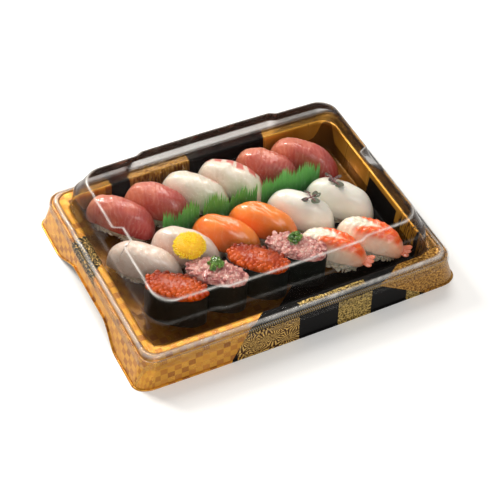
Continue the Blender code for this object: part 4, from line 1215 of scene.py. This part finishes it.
def add_roe(pile, place, seed, look):
    """Eggs packed over the heap in a golden spiral; the outer ones ride over the band's edge."""
    draw = np.random.default_rng(seed)
    # The core seen between the eggs is darkened by the deep mark: painted shade in the gaps
    add_heap_core(pile, place, seed, 2.2, 0.2, 8.0, deep=0.3)
    reach, angle = spiral(look.eggs, draw)
    radius = draw.uniform(0.94, 1.08, len(reach)) * look.egg / MM
    along, across = gunkan_oval(angle, 1.2)
    along = along * reach + draw.normal(scale=0.35, size=len(reach))
    across = across * reach + draw.normal(scale=0.35, size=len(reach))
    z = heap_height(np.minimum(reach, 0.93)) + draw.uniform(-0.4, 0.5, len(reach))
    z = np.where(reach > 0.86, np.maximum(z, NORI_TOP + 0.9 + radius), z)
    sizes = radius[:, None] * draw.uniform(0.94, 1.05, (len(reach), 3))
    frames = frames_on(draw.normal(size=(len(reach), 3)), draw.uniform(*ANY_TURN, len(reach)))
    shape, faces = ball(14, 9)
    # The deep mark darkens the eggs toward the heap's back side: painted shade
    deep = np.clip(across / 12.0 - 0.1 + 0.25 * draw.uniform(-1.0, 1.0, len(reach)), 0.0, 0.85)
    pile.add(*copies(shape, faces, laid(along, across, z, place), frames, sizes),
             deep=np.repeat(deep, len(shape)))


def add_mince(pile, place, seed, look):
    """Soft lumps of chopped fish, pressed into a rough heap."""
    draw = np.random.default_rng(seed)
    add_heap_core(pile, place, seed, 1.6, 0.8, 6.0)
    reach, angle = spiral(look.lumps, draw)
    along, across = gunkan_oval(angle, 2.2)
    half = np.column_stack([draw.uniform(3.0, 5.6, len(reach)), draw.uniform(2.0, 3.2, len(reach)),
                            draw.uniform(1.2, 2.0, len(reach))])
    z = heap_height(np.minimum(reach, 0.9)) + draw.uniform(0.2, 1.2, len(reach))
    z = np.where(reach > 0.82, np.maximum(z, NORI_TOP + 1.3 + half[:, 2]), z)
    normals = np.column_stack([draw.normal(scale=0.3, size=(len(reach), 2)), np.ones(len(reach))])
    frames = frames_on(normals, draw.uniform(*ANY_TURN, len(reach)))
    points, faces = copies(*ball(22, 11), laid(along * reach, across * reach, z, place), frames, half)
    lift = 0.5 * ripple(points, 3.6, seed + 5) + 0.25 * ripple(points, 1.7, seed + 6)
    pile.add(points + lift[:, None] * (0.7, 0.7, 0.8), faces)


def add_onion(pile, centre, seed, count):
    """A pinch of chopped green onion: short rolled rings heaped on one another."""
    draw = np.random.default_rng(seed)
    around = 14
    turn = circle(around)
    corners = ((1.0, 0.5), (0.72, 0.5), (0.72, -0.5), (1.0, -0.5))
    shape = np.concatenate([np.column_stack([r * np.cos(turn), r * np.sin(turn), np.full(around, h)])
                            for r, h in corners])
    reach = 5.8 * np.sqrt(draw.uniform(0.0, 1.0, count))
    angle = draw.uniform(*ANY_TURN, count)
    z = centre[2] + 4.4 - 0.12 * reach ** 2.0 + draw.uniform(-1.6, 1.0, count)
    centres = np.column_stack([centre[0] + reach * np.cos(angle), centre[1] + reach * np.sin(angle), z])
    normals = np.column_stack([draw.normal(scale=0.9, size=(count, 2)), np.ones(count)])
    frames = frames_on(normals, draw.uniform(*ANY_TURN, count))
    width = draw.uniform(1.6, 2.6, count)
    sizes = np.column_stack([width, width * draw.uniform(0.6, 1.0, count), draw.uniform(1.4, 2.8, count)])
    pile.add(*copies(shape, wrapped_faces(4, around), centres, frames, sizes))


class GunkanOperator(bpy.types.Operator):
    """Wraps the seaweed bands and heaps the roe, the minced tuna and the green onion"""

    bl_idname = "sushi_tray.gunkan"
    bl_label = "Gunkan"

    def execute(self, context):
        look = context.scene.sushi_tray.gunkan
        nori = nori_material(look)
        heaps = {"ikura": (add_roe, roe_material(look)), "negitoro": (add_mince, mince_material(look))}
        onion = onion_material(look)
        rice = bpy.data.materials["cooked_rice"]
        for index, (name, kind, x, y, turn) in enumerate(GUNKAN):
            place = (x, y, turn)
            build(name + "_band", name + "_nori", "nori", nori, 50.0, add_band, place, 2.0 + 1.3 * index)
            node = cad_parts[name + "_rice"]
            node.data.materials.clear()
            node.data.materials.append(rice)
            add_heap, material = heaps[kind]
            build(name + "_heap", f"{name}_{kind}", kind, material, None, add_heap, place, 40 + index, look)
            if kind == "negitoro":
                build(name + "_chives", name + "_onion", "onion", onion, 50.0, add_onion,
                      (*turned(*ONION_PLACE, place), HEAP_TOP + 2.8), 60 + index, look.rings)
        return {"FINISHED"}


# Garnish


def add_flower(pile, count):
    """A chrysanthemum head: a dome under a golden spiral of short blunt petals, longer outwards."""
    draw = np.random.default_rng(7)
    centre = np.array(FLOWER_CENTRE)
    rows = []
    for reach, rise in ((0.3, 0.02), (0.75, 0.16), (0.9, 0.4), (0.84, 0.62), (0.62, 0.82), (0.3, 0.9),
                        (0.08, 0.88)):
        along, across = oval(circle(60), FLOWER_RADIUS * reach, FLOWER_RADIUS * reach, 2.0)
        rows.append(laid(along, across, centre[2] + FLOWER_HEIGHT * rise, (centre[0], centre[1], 0.0)))
    pile.add_rows(np.stack(rows))
    order = (np.arange(count) + 0.5) / count
    lean = np.clip(order * math.pi * 0.58, 0.02, 1.9)
    turn = np.arange(count) * GOLDEN_ANGLE + draw.normal(scale=0.04, size=count)
    normals = np.column_stack([np.sin(lean) * np.cos(turn), np.sin(lean) * np.sin(turn), np.cos(lean)])
    spread = draw.uniform(0.93, 1.05, (count, 1))
    places = centre + (0.0, 0.0, FLOWER_HEIGHT * 0.34) + normals * spread * (
        FLOWER_RADIUS * 0.86, FLOWER_RADIUS * 0.86, FLOWER_HEIGHT * 0.56)
    frames = frames_on(normals + draw.normal(scale=0.22, size=(count, 3)), draw.uniform(*ANY_TURN, count))
    grow = (0.5 + 0.4 * order) * draw.uniform(0.85, 1.15, count)
    sizes = np.column_stack([1.05 * grow, 0.8 * grow, 2.1 * grow])
    shape, faces = ball(6, 4)
    points, faces = copies(shape, faces, places, frames, sizes)
    low = np.repeat(np.clip((order - 0.8) * 3.0, 0.0, 0.6) * draw.uniform(0.0, 1.0, count), len(shape))
    pile.add(points, faces, tip=np.clip(np.tile(shape[:, 2] * 0.7 + 0.75, count) - low, 0.0, 1.0))


def add_grass(pile, x_first, x_last, y_line, tooth):
    """A thin upright film whose upper edge is cut into groups of narrow flame-like blades.

    The top is the highest slope that falls from the groups' peaks, less the cut between two blades.
    """
    draw = np.random.default_rng(int(x_first) + 200)
    blades = max(4, round((x_last - x_first) / tooth))
    steps = 6
    share = np.linspace(0.0, 1.0, blades * steps + 1)
    x = x_first + (x_last - x_first) * share
    peaks = np.array(GRASS_PEAKS)
    envelope = (peaks[:, 1, None] - GRASS_FALL * np.abs(x - peaks[:, 0, None])).max(axis=0)
    place = (share * blades) % 1.0
    blade = np.minimum((share * blades).astype(int), blades - 1)
    depth = draw.uniform(6.5, 12.0, blades)[blade]
    tall = envelope - depth * np.abs(2.0 * place - 1.0) ** 0.9 + draw.uniform(-2.5, 1.2, blades)[blade]
    levels = np.array([0.0, 0.4, 0.65, 0.8, 0.9, 1.0])[:, None]
    lean = draw.uniform(-0.5, 0.9, blades)[blade] * np.sin(math.pi * place)
    y = y_line + 0.3 * np.sin(share * math.pi * 3.0) + 0.25 * np.sin(x * 1.1)
    skins = []
    for side in (-0.2, 0.2):
        z = REST + tall * levels
        shifted = np.clip(x + lean * levels ** 4.0, x_first, x_last)
        skins.append(np.stack([shifted, y + side * (1.0 - 0.5 * levels) + 0.0 * z, z], axis=-1))
    loop = np.concatenate([skins[0], skins[1][::-1]])
    rows, columns = loop.shape[:2]
    row, column = np.meshgrid(np.arange(rows), np.arange(columns - 1), indexing="ij")
    down = (row + 1) % rows
    faces = np.stack([row * columns + column, row * columns + column + 1, down * columns + column + 1,
                      down * columns + column], axis=-1).reshape(-1, 4).tolist()
    for column in (0, columns - 1):
        faces.append([row * columns + column for row in range(rows)])
    points = loop.reshape(-1, 3)
    pile.add(points, faces, points[:, (0, 2)])


def add_sprout(pile, place, leaves):
    """A cress sprout: thin bent stems from one knot, each to a cupped leaf notched at its tip."""
    right, front = np.array((0.866, -0.5, 0.0)), np.array((-0.5, -0.866, 0.0))  # SPROUT_TURN, rounded
    middle = np.array(place)
    knot, knot_faces = ball(10, 5)
    pile.add(middle + knot, knot_faces, stem=1.0)
    lens, lens_faces = ball(30, 9)
    tip = np.arctan2(lens[:, 1], lens[:, 0])
    for to_right, to_front, long_half, short_half, turn, purple in leaves:
        centre = middle + right * to_right + front * to_front
        steps = np.linspace(0.0, 1.0, 12)[:, None]
        path = middle + (centre - middle) * steps + (0.0, 0.0, 0.8) * np.sin(math.pi * steps)
        side = np.cross(centre - middle, (0.0, 0.0, 1.0))
        side /= np.linalg.norm(side)
        ring = np.cos(circle(8))[:, None] * side + np.sin(circle(8))[:, None] * (0.0, 0.0, 1.0)
        pile.add_rows(path[:, None] + 0.55 * ring, stem=0.9)
        along = long_half * (1.0 - 0.3 * np.maximum(0.0, np.cos(tip)) ** 10.0) * lens[:, 0]
        across = short_half * lens[:, 1]
        x, y = turned(along, across, (centre[0], centre[1], turn + SPROUT_TURN))
        rise = 0.05 * (along ** 2.0 + across ** 2.0) + 0.3 * lens[:, 2] + 0.1 * along
        pile.add(np.column_stack([x, y, centre[2] + rise]), lens_faces, purple=purple)


class GarnishOperator(bpy.types.Operator):
    """Adds the chrysanthemum, the cut grass and the cress sprouts"""

    bl_idname = "sushi_tray.garnish"
    bl_label = "Garnish"

    def execute(self, context):
        look = context.scene.sushi_tray.garnish
        build("flower_head", "chrysanthemum", "flower", flower_material(look), None, add_flower, look.petals)
        film = grass_material(look)
        for name, *line in GRASS:
            build(name + "_film", name, "grass", film, 60.0, add_grass, *line, look.tooth / MM)
        cress = sprout_material(look)
        pieces = {row[0]: row for row in NIGIRI}
        for name, below, along, across, leaves in SPROUTS:
            _, _, x, y, turn, _, _, height = pieces[below]
            place = (*turned(along, across, (x, y, turn)), REST + height + SPROUT_RISE)
            build(name + "_cress", name, "sprout", cress, None, add_sprout, place, leaves)
        return {"FINISHED"}


# Stage


def area_light(name, place, size, power, colour):
    """A rectangular light that faces the tray."""
    data = bpy.data.lights.new(name, "AREA")
    data.shape = "RECTANGLE"
    data.size, data.size_y = size
    data.energy = power
    data.color = colour
    lamp = bpy.data.objects.new(name, data)
    way = Vector(LIGHTS_FACE) - Vector(place)
    lamp.matrix_world = Matrix.Translation(place) @ way.to_track_quat("-Z", "Y").to_matrix().to_4x4()
    bpy.context.scene.collection.objects.link(lamp)


class StageOperator(bpy.types.Operator):
    """Sets the pale floor, the soft lights and the camera"""

    bl_idname = "sushi_tray.stage"
    bl_label = "Stage"

    def execute(self, context):
        look = context.scene.sushi_tray.stage
        corners = [(x * FLOOR_HALF, y * FLOOR_HALF, 0) for x, y in ((-1, -1), (1, -1), (1, 1), (-1, 1))]
        mesh = bpy.data.meshes.new("floor")
        mesh.from_pydata(corners, [], [(0, 1, 2, 3)])
        sheet = Sheet("pale_floor")
        tint = sheet.noise(sheet.object_place(), 0.004, 2.0)
        mesh.materials.append(sheet.set(Base_Color=sheet.mix(tint, look.floor, tone(246, 246, 246)),
                                        Roughness=0.6))
        floor = bpy.data.objects.new("floor", mesh)
        bpy.context.scene.collection.objects.link(floor)
        for name, place, size, colour in LIGHTS:
            area_light(name, place, size, getattr(look, name), colour)
        world = bpy.data.worlds.new("studio")
        world.use_nodes = True
        background = world.node_tree.nodes["Background"]
        background.inputs["Color"].default_value = WORLD_COLOUR
        background.inputs["Strength"].default_value = WORLD_STRENGTH
        context.scene.world = world
        context.scene.view_settings.view_transform = "Standard"
        self.set_camera(context.scene, look)
        return {"FINISHED"}

    @staticmethod
    def set_camera(scene, look):
        """Line of sight from its turn and height, rolled about itself, at a set distance."""
        turn, rise, roll = look.azimuth, look.elevation, look.roll
        back = Vector((math.sin(turn) * math.cos(rise), -math.cos(turn) * math.cos(rise), math.sin(rise)))
        level = Vector((math.cos(turn), math.sin(turn), 0.0))
        upright = back.cross(level)
        right = level * math.cos(roll) + upright * math.sin(roll)
        up = upright * math.cos(roll) - level * math.sin(roll)
        data = bpy.data.cameras.new("camera")
        data.sensor_width = SENSOR_WIDTH
        data.lens = FOCAL_LENGTH
        camera = bpy.data.objects.new("camera", data)
        place = back * look.distance + right * look.side - up * look.rise
        axes = Matrix((right, up, back)).transposed().to_4x4()
        camera.matrix_world = Matrix.Translation(place) @ axes
        scene.collection.objects.link(camera)
        scene.camera = camera


OPERATORS = (TrayOperator, LidOperator, NigiriOperator, GunkanOperator, GarnishOperator, StageOperator)


class SushiPanel(bpy.types.Panel):
    """Lists the operators and their settings in the sidebar"""

    bl_idname = "VIEW3D_PT_sushi_tray"
    bl_label = "Sushi tray"
    bl_space_type = "VIEW_3D"
    bl_region_type = "UI"
    bl_category = "Sushi tray"

    def draw(self, context):
        settings = context.scene.sushi_tray
        for operator in OPERATORS:
            name = operator.bl_idname.split(".")[1]
            box = self.layout.box()
            box.operator(operator.bl_idname)
            for key in getattr(settings, name).bl_rna.properties.keys():
                if key not in ("rna_type", "name"):
                    box.prop(getattr(settings, name), key)


GROUPS = (TraySettings, LidSettings, NigiriSettings, GunkanSettings, GarnishSettings, StageSettings,
          SushiSettings)
CLASSES = (*GROUPS, *OPERATORS, SushiPanel)


def register():
    for each in CLASSES:
        bpy.utils.register_class(each)
    bpy.types.Scene.sushi_tray = PointerProperty(type=SushiSettings)


def unregister():
    del bpy.types.Scene.sushi_tray
    for each in reversed(CLASSES):
        bpy.utils.unregister_class(each)


def main():
    register()
    for operator in OPERATORS:
        group, name = operator.bl_idname.split(".")
        getattr(getattr(bpy.ops, group), name)()


if __name__ == "__main__":
    main()
